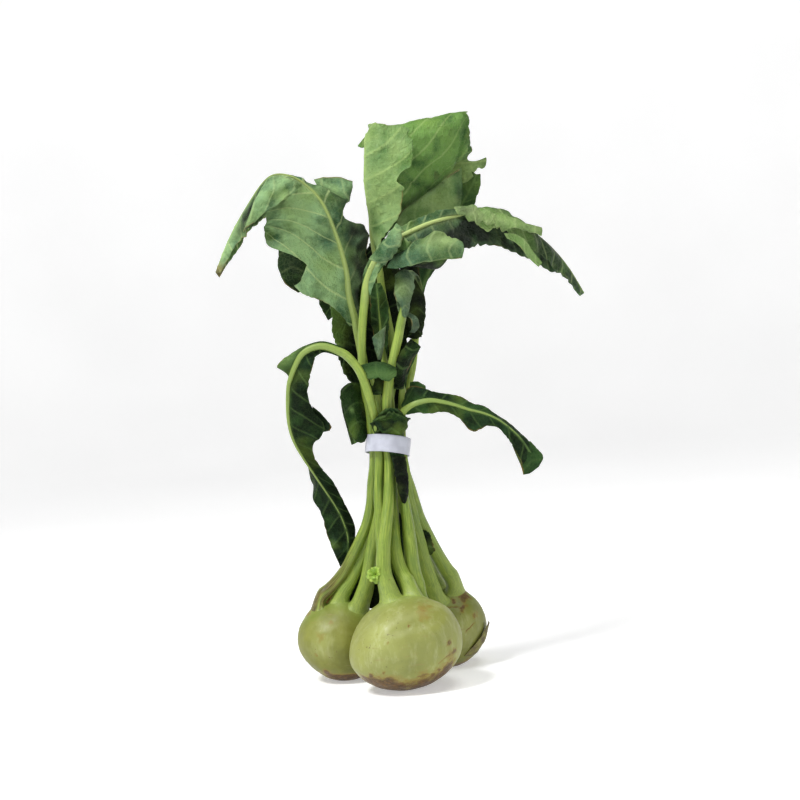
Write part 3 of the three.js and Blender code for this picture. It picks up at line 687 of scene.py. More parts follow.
def flap(rows, seed, jag=(0.4, 0.4, 1.0, 1.0), tooth=(6.0, 1.6), lobe=(16.0, 2.0), **spec):
    """A loose lobe of leaf through rows of given points. jag says how ragged its first row,
    last row, left and right margins are."""
    net = np.array(rows, float) + ORIGIN
    r, c = net.shape[:2]
    long = np.linalg.norm(np.diff(net, axis=0), axis=-1).sum(0).mean()
    wide = np.linalg.norm(np.diff(net, axis=1), axis=-1).sum(1).mean()
    ni = int(np.clip(long / FLAP_GRID, 8, 90))
    nj = int(np.clip(wide / FLAP_GRID, 7, 70))
    s, t = np.meshgrid(np.linspace(0, 1, nj), np.linspace(0, 1, ni))
    plain = surface(net, t * (r - 1), s * (c - 1))
    x, y = arc(plain, 0), arc(plain, 1)
    width = np.repeat(y[:, -1:], nj, 1)
    cuts = []
    sides = (y[0], x[-1]), (y[-1], x[-1]), (x[:, 0], y[:, -1]), (x[:, -1], y[:, -1])
    for k, (length, size) in enumerate(sides):
        inset = jag[k] * margin(length, size, seed + 13 * k, tooth, lobe)
        cuts.append(np.minimum(inset / np.maximum(size, 1), 0.42))
    low, high = cuts[0][None], 1 - cuts[1][None]
    left, right = cuts[2][:, None], 1 - cuts[3][:, None]
    t2 = low + (high - low) * t
    s2 = left + (right - left) * s
    grid = surface(net, t2 * (r - 1), s2 * (c - 1))
    spec = {"ruffle": (18.0, 0.7), "slant": 0.3, "relief": 0.6, "crease": 0.7, "veins": 0.35, **spec}
    v = 2 * s2 - 1
    edge = np.maximum(np.abs(2 * s - 1) * (1 if max(jag[2:]) > 0 else 0.9), np.abs(2 * t - 1) * 0.95)
    return blade(grid, x, y - width / 2, t2, v, edge, width / 2 + 2, FORWARD, seed, rib=False, **spec)


def joined(parts):
    """One set of points, faces and attributes from several."""
    points = np.concatenate([p[0] for p in parts])
    start = np.cumsum([0] + [len(p[0]) for p in parts[:-1]])
    faces = np.concatenate([p[1] + k for p, k in zip(parts, start)])
    return points, faces, {key: np.concatenate([p[2][key] for p in parts]) for key in parts[0][2]}


# stem and blade names are the same; marks, bites and holes are explained in blade and cad_blade
# dark marks are painted shade, pale marks painted light and highlights, and the tone and tone marks painted
# light above 0 and painted shade below 0
LEAVES = {
    "left_high": dict(slot="leaf_mid", seed=11, ruffle=(30.0, 1.6), lobe=(24.0, 3.0), relief=2.5,
        crease=3.0, bites=[(0, 0.235, 0.04, 0.42), (1, 0.35, 0.04, 0.5)], vein_gap=21.0, veins=0.75,
        marks=[("dark", 0.12, 0.75, 0.14, 0.5, 0.9), ("dark", 0.28, 0.8, 0.12, 0.5, 1.1),
        ("dark", 0.45, 1.0, 0.06, 0.35, 0.8), ("dark", 0.78, -0.5, 0.08, 0.45, 1.2),
        ("dry", 1.0, 0.0, 0.03, 2.0, 0.6), ("dark", 1.0, 0.0, 0.03, 2.0, 0.4),
        ("tone", 0.3, -0.5, 0.12, 0.5, 0.9), ("tone", 0.42, -0.3, 0.1, 0.4, 0.6),
        ("tone", 0.1, -0.5, 0.09, 0.8, -0.8), ("tone", 0.62, -0.6, 0.1, 0.6, 0.8),
        ("tone", 0.9, 0.0, 0.12, 2.0, 0.8)]),
    "left_low": dict(seed=22, ruffle=(24.0, 1.6), tooth=(9.0, 0.8), lobe=(34.0, 5.0), vein_gap=14.0,
        veins=0.3, tone=-0.4, bites=[(1, 0.36, 0.09, 0.8)], marks=[("tone", 0.22, 0.6, 0.08, 0.5, 1.8),
        ("pale", 0.22, 0.8, 0.09, 0.6, 1.3), ("dark", 0.65, 0.2, 0.4, 1.5, 0.4)]),
    "top": dict(slot="leaf_light", seed=33, ruffle=(34.0, 1.6), tooth=(8.0, 2.6), lobe=(20.0, 3.4),
        relief=2.3, crease=2.8, bites=[(1, 0.285, 0.03, 0.2), (1, 0.425, 0.015, 0.14), (0, 1.0, 0.13, 0.85),
        (1, 1.0, 0.13, 0.85)], vein_gap=17.0, veins=0.5, slant=0.35, holes=[(0, 51.6, 360.5, 2.6)],
        marks=[("tone", 0.35, 0.6, 0.3, 0.7, 0.8), ("tone", 0.4, -0.6, 0.2, 0.5, 0.5),
        ("tone", 0.46, -0.3, 0.1, 0.6, 0.7), ("dark", 0.17, -0.8, 0.06, 0.5, 0.9),
        ("tone", 0.27, -0.6, 0.06, 0.5, 0.9), ("tone", 0.88, 0.3, 0.14, 1.0, 1.6),
        ("pale", 0.9, 0.6, 0.1, 0.5, 0.25), ("pale", 0.3, 0.4, 0.15, 0.5, 0.15)]),
    "right_high": dict(slot="leaf_mid", seed=44, ruffle=(20.0, 1.5), tooth=(6.0, 2.0), lobe=(18.0, 3.0),
        veins=0.45, vein_gap=13.0, tone=-0.2, relief=1.8, crease=1.6,
        marks=[("dark", 0.62, 0.6, 0.22, 0.6, 0.9), ("dark", 0.8, 0.0, 0.14, 1.0, 0.6),
        ("dark", 0.38, 0.35, 0.12, 0.25, 0.9), ("dark", 0.46, 0.7, 0.1, 0.7, 0.9),
        ("dark", 0.28, 0.5, 0.14, 0.3, 1.0), ("tone", 0.62, -0.8, 0.16, 0.5, 1.4),
        ("pale", 0.62, -0.8, 0.12, 0.4, 0.25)]),
    "right_low": dict(seed=55, ruffle=(18.0, 1.2), lobe=(20.0, 4.0), tone=0.0, veins=0.28, relief=1.3,
        marks=[("dark", 0.15, -0.7, 0.25, 0.6, 0.4), ("dark", 0.5, 0.7, 0.25, 0.6, 0.4)]),
    "wilted": dict(slot="leaf_grey", seed=66, ruffle=(14.0, 0.8), veins=0.4, tone=-0.6),
    "right_back": dict(seed=77, veins=0.4, bites=[(0, 0.95, 0.2, 0.6), (1, 0.32, 0.15, 0.6)],
        marks=[("tone", 0.9, 0.0, 0.25, 2.0, 1.5), ("pale", 0.9, 0.2, 0.15, 1.0, 0.35)]),
    "right_fold": dict(seed=88, ruffle=(12.0, 0.5), veins=0.3),
    "front_curl": dict(seed=99, ruffle=(12.0, 0.8), tooth=(5.0, 1.2), tone=0.5, veins=0.2, relief=1.4,
        crease=1.6, marks=[("pale", 0.5, -0.3, 2.0, 0.5, 0.45)]),
    "left_small": dict(seed=110, ruffle=(12.0, 0.8), veins=0.3),
    "back_left": dict(seed=121, ruffle=(22.0, 1.6), lobe=(20.0, 3.0), veins=0.4),
    "inner": dict(seed=132, ruffle=(12.0, 0.4), tone=-0.3, veins=0.4),
    "tucked": dict(seed=143, ruffle=(12.0, 0.4), tooth=(5.0, 1.8), lobe=(16.0, 1.2), veins=0.3, rib=False),
}

# lobes that fold over or hang behind the blade of a leaf, each through rows of points in mm
# a flap's tone and marks paint light and shade as a leaf's do
FLAPS = [
    ("right_low", dict(rows=[[[87, -29, 164], [94, -27, 166], [101, -25, 165]],
        [[89.5, -32, 156], [99, -30, 158], [107, -27, 158]],
        [[91.5, -33, 149], [100, -31, 150], [109, -28, 153]],
        [[93, -33, 142.5], [98, -32, 143], [105, -30, 147]]],
        seed=405, tone=-0.1, veins=0.15, jag=(0, 0.3, 0.2, 0.3), tooth=(4.0, 1.0), relief=1.0)),
    ("right_low", dict(rows=[[[18, -11, 206], [19, -11, 210], [19.5, -9, 214]],
        [[24, -12.5, 205], [24.5, -12, 210], [25, -10, 215]],
        [[30, -13.5, 204], [31, -13, 207], [31, -12, 210]]],
        seed=406, tone=1.0, veins=0.2, jag=(0.2, 0.4, 0, 0.6), tooth=(5.0, 1.2))),
    ("left_low", dict(rows=[[[-51, -17, 203], [-48, -17, 200], [-45, -17, 197]],
        [[-51, -16, 196], [-45, -16, 193], [-40.5, -16, 191]],
        [[-51, -15, 189], [-44, -15, 188], [-38, -15, 187]],
        [[-51, -15, 183], [-45, -15, 183.5], [-39.5, -15, 184]]],
        seed=400, tone=-0.6, veins=0.15, jag=(0, 0.4, 0, 0.8), tooth=(4.0, 1.8))),
    ("left_high", dict(rows=[[[-65, -20, 317], [-55, -17, 318], [-45, -14, 317]],
        [[-66.5, -17, 302], [-57, -13, 303], [-46, -11, 303]],
        [[-63, -15, 291], [-56, -12, 291], [-49, -12, 292]],
        [[-54, -15, 284], [-52, -14, 284.5], [-50, -14, 285]]],
        seed=410, upper=True, tone=-0.8, veins=0.2, marks=[("dark", 0.4, 0.2, 0.6, 0.8, 0.55)],
        jag=(0, 0, 0.4, 0))),
    ("left_high", dict(rows=[[[-44, -26, 358], [-50, -33, 353], [-55, -38, 350]],
        [[-52, -30, 364], [-58, -38, 354], [-62, -43, 345]],
        [[-62, -33, 366], [-68, -42, 352], [-73, -47, 338]],
        [[-68, -35, 364], [-75, -43, 349], [-82, -48, 331]],
        [[-72, -36, 359], [-78, -42, 347], [-87, -46, 328]]],
        seed=420, tone=0.8, jag=(0.2, 0.5, 0, 0.7))),
    ("left_high", dict(rows=[[[-36, -11, 363], [-33, -11, 356], [-30, -11, 346]],
        [[-22, -6, 364], [-22, -10, 355], [-21, -8, 343]], [[-14, -4, 362], [-14, -9, 354], [-15, -6, 343]],
        [[-8.5, -3, 360], [-9, -6, 355], [-12, -4, 348]]],
        seed=430, tone=0.1, jag=(0, 0.3, 0, 0.5), tooth=(5.0, 1.6), relief=1.2, crease=1.5,
        marks=[("dark", 1.0, 0.4, 0.2, 0.8, 0.9), ("dark", 0.75, 1.0, 0.3, 0.3, 0.6)])),
    ("top", dict(rows=[[[20, 13, 332], [20, 14, 325], [20, 15, 316]],
        [[28, 16, 340], [27, 17, 331], [27, 18, 319]], [[42, 18, 348], [41, 20, 338], [39, 19, 322]],
        [[57, 22, 357], [57, 24, 343], [53, 20, 325]], [[71, 26, 366], [71, 27, 348], [66, 22, 328]]],
        seed=440, tone=0.6, jag=(0, 0.6, 0.5, 1.2), relief=1.2, veins=0.2,
        marks=[("dark", 0.3, -1.0, 0.6, 0.25, 0.9), ("dark", 0.0, 0.0, 0.16, 2.0, 0.6),
        ("dark", 0.95, -0.3, 0.06, 0.8, 0.8), ("dark", 0.35, 1.0, 0.5, 0.15, 0.9)])),
    ("top", dict(rows=[[[3.5, 4, 392], [2.5, 3, 384]], [[0, 5, 388.5], [0, 5, 383.5]],
        [[-3, 6, 385.5], [-2.6, 6, 384.8]]],
        seed=460, upper=True, tone=0.2, jag=(0, 0, 0, 0))),
    ("right_high", dict(rows=[[[9.7, -21, 295.7], [12, -23, 300], [17.7, -24, 304.4]],
        [[18.3, -26, 294.2], [21, -28, 302], [26.9, -26, 310]],
        [[29.2, -29, 295.4], [33, -33, 306], [38.9, -29, 315.5]],
        [[41.6, -31, 297.2], [45, -35, 308], [48.5, -31, 318.2]],
        [[53.3, -31, 297.6], [56, -34, 306], [57.5, -31, 313.9]],
        [[63.3, -31, 297.4], [65.5, -33, 304], [64.5, -32, 310.4]]],
        seed=475, tone=-0.9, jag=(0.6, 0.2, 0.3, 1.0), tooth=(6.0, 1.8), ruffle=(14.0, 1.2), relief=1.2,
        crease=1.4, marks=[("pale", 0.65, 0.5, 0.22, 0.5, 0.35), ("dark", 0.1, 0.3, 0.12, 1.0, 0.5),
        ("tone", 0.7, 0.6, 0.25, 0.5, 0.6)])),
    ("right_high", dict(rows=[[[-3, -24, 303], [3, -27, 300], [10, -27, 297]],
        [[4, -26, 310], [11, -31, 307], [17, -31, 303]], [[12, -26, 319], [18, -32, 316], [24, -32, 311]],
        [[20, -23, 328], [22, -26, 325], [25, -27, 321]]],
        seed=470, tone=-0.6, marks=[("pale", 0.7, 0.5, 0.2, 0.5, 0.25), ("dark", 0.0, 0.8, 0.35, 0.5, 0.6)],
        jag=(0.4, 0.8, 0.7, 1.3), ruffle=(11.0, 1.6), relief=1.0)),
    ("right_high", dict(rows=[[[60, -29, 334], [61, -31, 332], [62, -31, 329]],
        [[74, -27, 335], [74, -32, 327], [73, -33, 319]], [[83, -26, 331], [84, -32, 325], [84, -33, 317]],
        [[92, -24, 327], [94, -30, 320], [94, -31, 312]],
        [[101, -23, 323], [102, -28, 318], [101, -29, 314]],
        [[112, -21, 318], [112, -25, 314], [111, -26, 311]],
        [[122, -18, 315], [122, -20, 312], [121, -21, 308]]],
        seed=480, upper=True, tone=0.7, marks=[("pale", 0.5, 0, 2.0, 2.0, 0.35),
        ("dark", 0.5, 0.6, 0.07, 0.6, 0.5), ("dark", 0.8, 0.7, 0.06, 0.6, 0.6)], jag=(0.2, 0.2, 0.2, 1.5),
        tooth=(7.0, 2.5), ruffle=(11.0, 2.6), relief=1.2, crease=1.2)),
    ("right_high", dict(rows=[[[94, -28, 313], [96, -27, 309]], [[102, -28, 312], [101, -27, 306]],
        [[109, -27, 307], [106, -26, 300]], [[114, -25, 299], [110, -24, 294]],
        [[120, -22, 290], [117, -21, 287]]],
        seed=490, upper=True, tone=0.6, marks=[("pale", 0.5, 0, 2.0, 2.0, 0.3)], jag=(0, 0.2, 0.6, 0.4))),
    ("wilted", dict(rows=[[[15, -12, 291], [22, -14, 294], [30, -10, 290]],
        [[13, -16, 283], [21, -19, 284], [30, -13, 281]], [[13, -16, 275], [20, -19, 274], [27, -15, 276]],
        [[17, -15, 268], [21, -18, 267], [25, -15, 269]],
        [[18, -14, 261], [20, -16, 259.5], [23, -14, 261]]],
        seed=500, tone=0.7, jag=(0.5, 0.3, 0.8, 0.8))),
    ("wilted", dict(rows=[[[20, -12, 262], [24, -13, 263]], [[24, -15, 258], [29, -14, 259]],
        [[24, -14, 252], [30, -12, 253]], [[22, -11, 249], [26, -10, 248]]],
        seed=510, tone=-0.7, jag=(0, 0.3, 0.4, 0.6), marks=[("dark", 0.5, 0, 2.0, 2.0, 0.5)])),
    ("wilted", dict(rows=[[[-4.5, -7, 248], [1, -9, 252], [6.2, -7, 255.6]],
        [[-3.8, -8, 240], [1, -10, 243], [4.5, -7, 245]],
        [[-1.8, -8, 231], [-0.5, -9, 231], [0.6, -8, 231]]],
        seed=515, tone=0.3, jag=(0.3, 0.1, 0.2, 0.2))),
    ("right_back", dict(rows=[[[16, 8, 308], [24, 9, 312], [34, 12, 308]],
        [[20, 10, 290], [27, 9, 291], [34, 12, 290]], [[22, 12, 270], [30, 10, 272], [37, 14, 268]],
        [[21, 12, 256], [29, 11, 256], [35, 14, 255]], [[20, 12, 245], [27, 11, 243], [32, 13, 246]]],
        seed=520, upper=True, tone=-1.0, marks=[("dark", 0.0, 0.0, 0.6, 2.0, 1.0),
        ("dark", 0.7, 0.0, 0.5, 2.0, 0.6)], jag=(0.3, 0.4, 0.2, 0.5))),
    ("right_back", dict(rows=[[[16, 13, 104], [20, 12, 106], [24, 13, 103]],
        [[17, 12, 95], [22, 11, 95], [28, 13, 94]], [[19, 13, 87], [24, 12, 85], [28, 13, 88]]],
        seed=530, upper=True, tone=-0.4, jag=(1.0, 1.0, 1.0, 1.0), tooth=(4.0, 1.5))),
    ("right_fold", dict(rows=[[[7.5, -12, 210], [11, -14, 209], [15, -12, 209]],
        [[8, -15, 223], [14, -18, 223], [20, -12, 223]], [[13, -15, 235], [19, -18, 233], [26, -11, 232]],
        [[22.5, -11, 245], [26, -12, 242], [30, -10, 238]]],
        seed=540, upper=True, tone=-0.1, jag=(0.2, 0.3, 0.7, 0.5))),
    ("left_small", dict(rows=[[[-30, -5, 213], [-24, -7, 217], [-15, 0, 216]],
        [[-32, -5, 205], [-23, -9, 205], [-11, 0, 204]], [[-30, -4, 195], [-21, -8, 194], [-10, 0, 193]],
        [[-28, -5, 185], [-21, -8, 184], [-11, 0, 184]],
        [[-26, -6, 178], [-21, -8, 173], [-16.5, -5, 173]]],
        seed=550, upper=True, tone=0.4, veins=0.2, jag=(0.4, 0.4, 0.8, 0.3), relief=1.0, crease=1.4,
        marks=[("pale", 0.42, -0.2, 0.05, 0.14, 0.9), ("dark", 0.5, 0.9, 1.0, 0.5, 0.6)])),
    ("left_small", dict(rows=[[[-60, 9, 55], [-53, 8, 54], [-45, 9, 55]],
        [[-56, 10, 63], [-51, 9, 61], [-43, 9, 62]], [[-49, 10, 72], [-46, 9, 70], [-41, 9, 70]]],
        seed=555, jag=(0, 0.3, 0, 0.3), marks=[("dry", 0.5, 0, 2.0, 2.0, 1.0),
        ("dark", 0.3, 0.2, 0.5, 0.8, 0.5)])),
    ("front_curl", dict(rows=[[[-17, -14, 228], [-17, -16, 225], [-15, -17, 221]],
        [[-10, -17, 230], [-10, -20, 225], [-11, -24, 218.5]],
        [[-3, -21, 231], [-3, -24, 225], [-2, -29.5, 218]],
        [[4, -23, 229.5], [4, -26, 223.5], [4, -31.5, 216.5]],
        [[11, -24, 225.5], [11, -26, 222], [10, -29, 218]]],
        seed=565, tone=0.9, relief=1.2, crease=1.4, veins=0.2, marks=[("dark", 0.5, -1.1, 2.0, 0.55, 0.7),
        ("pale", 0.5, 0.4, 2.0, 0.5, 0.4)], jag=(0.3, 0.2, 0.3, 1.1), tooth=(5.0, 1.6))),
    ("front_curl", dict(rows=[[[-10, -10, 222], [-5, -13, 222], [0, -11, 220]],
        [[-10, -11, 213], [-4, -15, 214], [2, -12, 213]],
        [[-9, -11, 206], [-3, -15.5, 206], [4, -12, 207]]],
        seed=560, tone=-0.7, veins=0.2, jag=(0.4, 0.8, 0.4, 0.6), tooth=(4.0, 1.6), relief=1.4, crease=1.4,
        marks=[("dark", 0.2, 0.0, 0.5, 2.0, 0.8)])),
    ("back_left", dict(rows=[[[-10, 12, 180], [1, 13, 179], [14, 11, 180]],
        [[-23, 10, 206], [0, 13, 203], [20, 15, 204]], [[-29, 12, 226], [0, 18, 226], [19, 13, 224]],
        [[-29, 19, 249], [2, 14, 252], [24, 18, 248]], [[-15, 17, 275], [6, 16, 278], [27, 17, 272]],
        [[-9, 19, 300], [6, 13, 303], [22, 19, 300]], [[-2, 16, 316], [7, 15, 320], [15, 17, 316]]],
        seed=570, upper=True, tone=-0.5, jag=(0, 0.8, 1.2, 1.2), lobe=(20.0, 4.0), ruffle=(26.0, 2.6),
        relief=1.6, crease=2.0, veins=0.2, marks=[("dark", 0.5, 0.0, 0.6, 0.8, 0.35)])),
    ("tucked", dict(rows=[[[-6, -21, 194], [4, -23, 197], [12, -19, 193]],
        [[-11, -20, 188], [4, -24, 190], [18, -14, 187]], [[-12, -17, 186], [4, -19, 188], [18, -10, 187]],
        [[-10, -12.5, 180], [4, -12.5, 181], [14.5, -7.5, 181]],
        [[-8, -11.5, 173], [4, -12, 174], [13, -7, 174]]],
        seed=590, upper=True, tone=-0.1, jag=(1.6, 0, 0.8, 0.8), tooth=(5.0, 2.0))),
    ("tucked", dict(rows=[[[0.5, -16.6, 163], [7, -17, 162], [13, -13, 161]],
        [[1.5, -20, 150], [8, -22, 149], [13, -18, 148]], [[4, -22, 138], [8, -24, 137], [12.5, -20, 138]],
        [[6, -22, 130], [8, -23, 128], [10, -21, 130]]],
        seed=580, upper=True, tone=-1.0, jag=(0, 0.4, 0.8, 0.8), veins=0.15,
        marks=[("dark", 0.3, 0, 1.0, 2.0, 1.0)])),
    ("tucked", dict(rows=[[[-11, 12, 140], [-3, 10, 138], [8, 8, 136]],
        [[-24, 15, 106], [-10, 13, 103], [9, 8, 100]], [[-34, 16.5, 84], [-15, 14, 82], [12, 8, 80]],
        [[-42, 17, 66], [-20, 14, 63], [13, 6, 66]], [[-43, 17, 52], [-21, 13, 50], [12, 5, 56]]],
        seed=600, upper=True, tone=-0.6, jag=(0, 0.4, 0.5, 0.8), veins=0.15,
        marks=[("dark", 0.6, 0, 1.0, 2.0, 0.4)])),
]


def grow_leaf(name, slot="leaf_dark", **spec):
    """Makes a leaf's piece from its CAD blade and its flaps, and returns its rib. A leaf with no
    stem in view begins at its top. A leaf given no slot gets the darkest colours, painted shade."""
    node = "leaf_" + name
    near = stem_ends.get(name, np.array([0.0, 0.0, 1000.0]))
    made, rib, out = cad_blade(node, near, **spec)
    parts = [made] + [flap(**lobe) for leaf, lobe in FLAPS if leaf == name]
    points, faces, layers = joined(parts)
    new_piece(node, points, [faces], LEAF_SLOTS[slot], layers)
    return rib, out


STEMS = ["left_low", "wilted", "inner", "right_low", "right_high", "left_small", "front_curl",
         "left_high", "top", "right_fold", "right_back", "back_left"]
BULB_STEMS = {"front": STEMS[:4], "left": STEMS[4:8], "back": STEMS[8:]}
stem_axes = {name: stem_axis("stem_" + name) for name in STEMS}
stem_ends = {name: axis[0][-1] for name, axis in stem_axes.items()}
ribs = {name: grow_leaf(name, **spec) for name, spec in LEAVES.items()}


# ---- bulbs --------------------------------------------------------------------------------------
# how stout each stem is low down, how far it moves sideways there and how far it bows out, mm
STOUT = {"front_curl": 1.7, "left_small": 1.3, "right_low": 1.6, "inner": 1.5, "top": 1.4, "wilted": 1.3,
         "right_fold": 1.6, "right_back": 1.5, "left_high": 1.3, "back_left": 1.3, "left_low": 1.3}
NUDGE = {"wilted": -4.0, "inner": -2.0, "front_curl": 3.0, "left_small": 1.5, "right_low": 1.0}
BOW = {"right_high": 6.0, "left_small": 2.5}


def stem_line(name):
    """Middle line and radii of a stem, moved a little near the bulb."""
    centres, radii = stem_axes[name]
    at = np.linspace(0, len(centres) - 1, 90)
    path = smooth(centres, at)
    path[:, 0] += NUDGE.get(name, 0) * step(150.0, 70.0, path[:, 2])
    path[:, 0] += BOW.get(name, 0) * step(165.0, 105.0, path[:, 2]) * step(56.0, 84.0, path[:, 2])
    return path, smooth(radii[:, None], at)[:, 0]


SKINS = {}                              # centre, search tree by direction and radii of each skin
BULB_LEVELS, BULB_AROUND = 120, 200     # rings of a bulb and points round it
NECK = (0.2, 0.4, 0.6, 0.8, 0.93)       # shares of the way from the last ring to the crown
SUNK = 0.7                              # how deep a stem's foot lies in the skin, mm


def into_bulb(name, points):
    """The places just under a bulb's skin, straight out from its centre through the points."""
    centre, tree, radii = SKINS[name]
    way = unit(points - centre).reshape(-1, 3)
    out = np.empty(len(way))
    for k, w in enumerate(way):
        found = tree.find_n(w, 4)
        share = np.array([1 / (0.002 + f[2]) for f in found])
        out[k] = (share * radii[[f[1] for f in found]]).sum() / share.sum()
    return (centre + way * (out - SUNK)[:, None]).reshape(points.shape)


def fine_grid(rings, crown):
    """A bulb's CAD rings as a finer grid that runs on towards its crown."""
    n, m = rings.shape[:2]
    net = np.concatenate([rings[:, -1:], rings, rings[:, :2]], axis=1)
    turn = np.arange(BULB_AROUND) / BULB_AROUND * m + 1
    turn, at = np.meshgrid(turn, np.linspace(0, n - 1, BULB_LEVELS))
    grid = surface(net, at, turn)
    cap = [grid[-1] * (1 - t) + crown * t for t in NECK]
    return np.concatenate([grid, np.array(cap)])


def round_feet(grid, centre, stems):
    """How far a bulb swells round its stems' feet, and how green and how pale it is there."""
    swell, green, pale = np.zeros((3,) + grid.shape[:2])
    for stem in stems:
        foot = stem_line(stem)[0][0]
        gap = grid - foot
        sideways = unit(np.cross([0, 0, 1.0], foot - centre))
        down = np.cross(sideways, unit(foot - centre))
        down = down if down[2] < 0 else -down
        fall = gap @ down
        near = np.linalg.norm(gap, axis=-1)
        ridge = np.exp(-((gap @ sideways / 5.5) ** 2)) * np.exp(-np.where(fall > 0, fall / 13, -fall / 6))
        ridge = ridge * (near < 40)
        swell = np.maximum(swell, np.maximum(2.6 * np.exp(-((near / 9.0) ** 2)), 1.8 * ridge))
        green = np.maximum(green, np.exp(-((near / 12.0) ** 2)))
        pale = np.maximum(pale, ridge)
    return swell, green, pale


def scratches(grid, centre, height, scars, seed):
    """How strong the healed scratches are at each point of a bulb."""
    marks = 0 * height
    for across, up, length, tilt in scars:
        east, north = grid[..., 0] - centre[0] - across, height - up
        dx = east * math.cos(tilt) + north * math.sin(tilt)
        dz = north * math.cos(tilt) - east * math.sin(tilt)
        dz = dz + 1.2 * noise(grid, 5.0, seed)
        line = np.exp(-((dz / 0.55) ** 2)) * step(length, length * 0.6, np.abs(dx))
        marks = np.maximum(marks, line)
    return marks * (grid[..., 1] < centre[1])


def keep_skin(name, grid, centre):
    """Stores a bulb's skin for into_bulb."""
    flat = grid[::2, ::2].reshape(-1, 3) - centre
    tree = KDTree(len(flat))
    for k, w in enumerate(unit(flat)):
        tree.insert(w, k)
    tree.balance()
    SKINS[name] = centre, tree, np.linalg.norm(flat, axis=-1)


def grow_bulb(name, seed, cork, bleach, scars, blotches, bloom, humps):
    """A bulb swollen up round its stem feet and corky below the height `cork`, bleach being how
    pale it is all over. On its front, scars are (across, up, length, tilt), blotches (across, up,
    size, amount), humps (across, up, size, height) and the bloom is (across, up, size)."""
    rings, foot, crown = rings_of("bulb_" + name)
    grid = fine_grid(rings, crown)
    centre = rings.reshape(-1, 3).mean(0)
    out = unit(grid - centre)
    height = grid[..., 2]
    lump = 1.5 * noise(grid, 30.0, seed) + 0.4 * noise(grid, 10.0, seed + 1)
    lump = (lump + 0.08 * rough(grid, 3.0, seed + 2)) * step(0.0, 7.0, height)
    swell, green, pale = round_feet(grid, centre, BULB_STEMS[name])
    for across, up, size, rise in humps:
        reach = ((grid[..., 0] - centre[0] - across) ** 2 + (height - up) ** 2) / size**2
        swell = swell + rise * np.exp(-reach) * step(10, -10, grid[..., 1] - centre[1])
    grid = grid + out * (lump + swell)[..., None]
    marks = scratches(grid, centre, height, scars, seed + 9)
    grid = grid - out * (0.35 * marks)[..., None]
    grid[..., 2] = np.maximum(grid[..., 2], 0)
    keep_skin(name, grid, centre)
    east, in_front = grid[..., 0] - centre[0], grid[..., 1] < centre[1]
    rim = height + 9 * noise(grid, 16.0, seed + 5) + 4 * noise(grid, 6.0, seed + 6) - 0.12 * east
    corky = np.maximum(1 - step(cork * 0.3, cork, rim), 0.8 * marks)
    for across, up, size, amount in blotches:
        reach = np.hypot(east - across, height - up) / size + 0.5 * noise(grid, 0.6 * size, seed + 11)
        corky = np.maximum(corky, amount * step(1.2, 0.3, reach) * in_front)
    waxy = np.exp(-((east - bloom[0]) ** 2 + (height - bloom[1]) ** 2) / bloom[2] ** 2)
    pale = np.maximum(0.6 * pale, 0.5 * waxy * (1 + 0.5 * rough(grid, 12.0, seed + 13)))
    pale = bleach * (1 + 0.25 * rough(grid, 14.0, seed + 15)) + (1 - bleach) * pale
    tips = np.stack([foot, crown + [0, 0, 1.0]])
    layers = {"cork": corky.ravel(), "green": 0.8 * green.ravel(), "pale": np.clip(pale, 0, 1).ravel()}
    new_tube("bulb_" + name, grid, tips, BULB, layers)


BULBS = {
    "front": dict(
        seed=301, cork=20.0, bleach=0.4, bloom=(-16, 42, 18),
        scars=[(26, 24, 7, 0.5), (31, 20, 4, 0.9), (12, 14, 9, 0.15)],
        blotches=[(14, 56, 6, 0.45), (33, 27, 3, 0.8), (30, 34, 2.4, 0.8), (-12, 40, 1.5, 0.6),
                  (3, 50, 1.3, 0.7), (-20, 13, 6, 0.55), (-26, 17, 2.4, 0.9), (-14, 12, 3, 0.85),
                  (-17, 19, 1.6, 0.8), (21, 16, 2.2, 0.85)],
        humps=[(24, 52, 11, 2.6), (-30, 52, 13, -4.4), (6, 26, 16, -1.6), (-34, 24, 12, 1.2),
               (10, 57, 8, 1.2)] + [(-8 + 2.4 * k, 47 + 0.28 * k, 3.4, -0.45) for k in range(15)]),
    "left": dict(
        seed=311, cork=9.0, bleach=0.0, bloom=(-12, 34, 13), scars=[(14, 22, 5, -0.6)],
        blotches=[(13, 21, 3.5, 0.6), (-14, 36, 4, 0.4), (-6, 46, 2, 0.6), (-18, 24, 1.6, 0.7),
                  (-24, 53, 5, 0.7)],
        humps=[(-22, 36, 12, 1.6), (12, 22, 7, -1.6)]),
    "back": dict(
        seed=321, cork=10.0, bleach=0.15, bloom=(8, 30, 12), scars=[(4, 46, 6, 0.1), (16, 30, 6, 0.7)],
        blotches=[(14, 50, 5, 0.75), (20, 38, 3, 0.7), (12, 44, 3, 0.8), (6, 50, 2.5, 0.8)],
        humps=[(16, 42, 10, 1.5)]),
}
for bulb_name, bulb_spec in BULBS.items():
    grow_bulb(bulb_name, **bulb_spec)


# ---- stems --------------------------------------------------------------------------------------
SMOOTHING = 6             # passes that even out a stem's line
SIDES = 24                # points round a stem
SPACING = 1.5             # between its rings, mm
WITHERED = "right_high"   # the stem whose foot has dried out
# how pale each rib is, and how far along its leaf it stands out
RIB_LIGHT = {"right_high": 1.0, "left_high": 0.6, "top": 0.8, "left_low": 0.25, "right_low": 0.2}
RIB_REACH = {"front_curl": 0.08, "wilted": 0.3, "right_fold": 0.2, "left_small": 0.3, "top": 0.14,
             "right_back": 0.1, "back_left": 0.6}


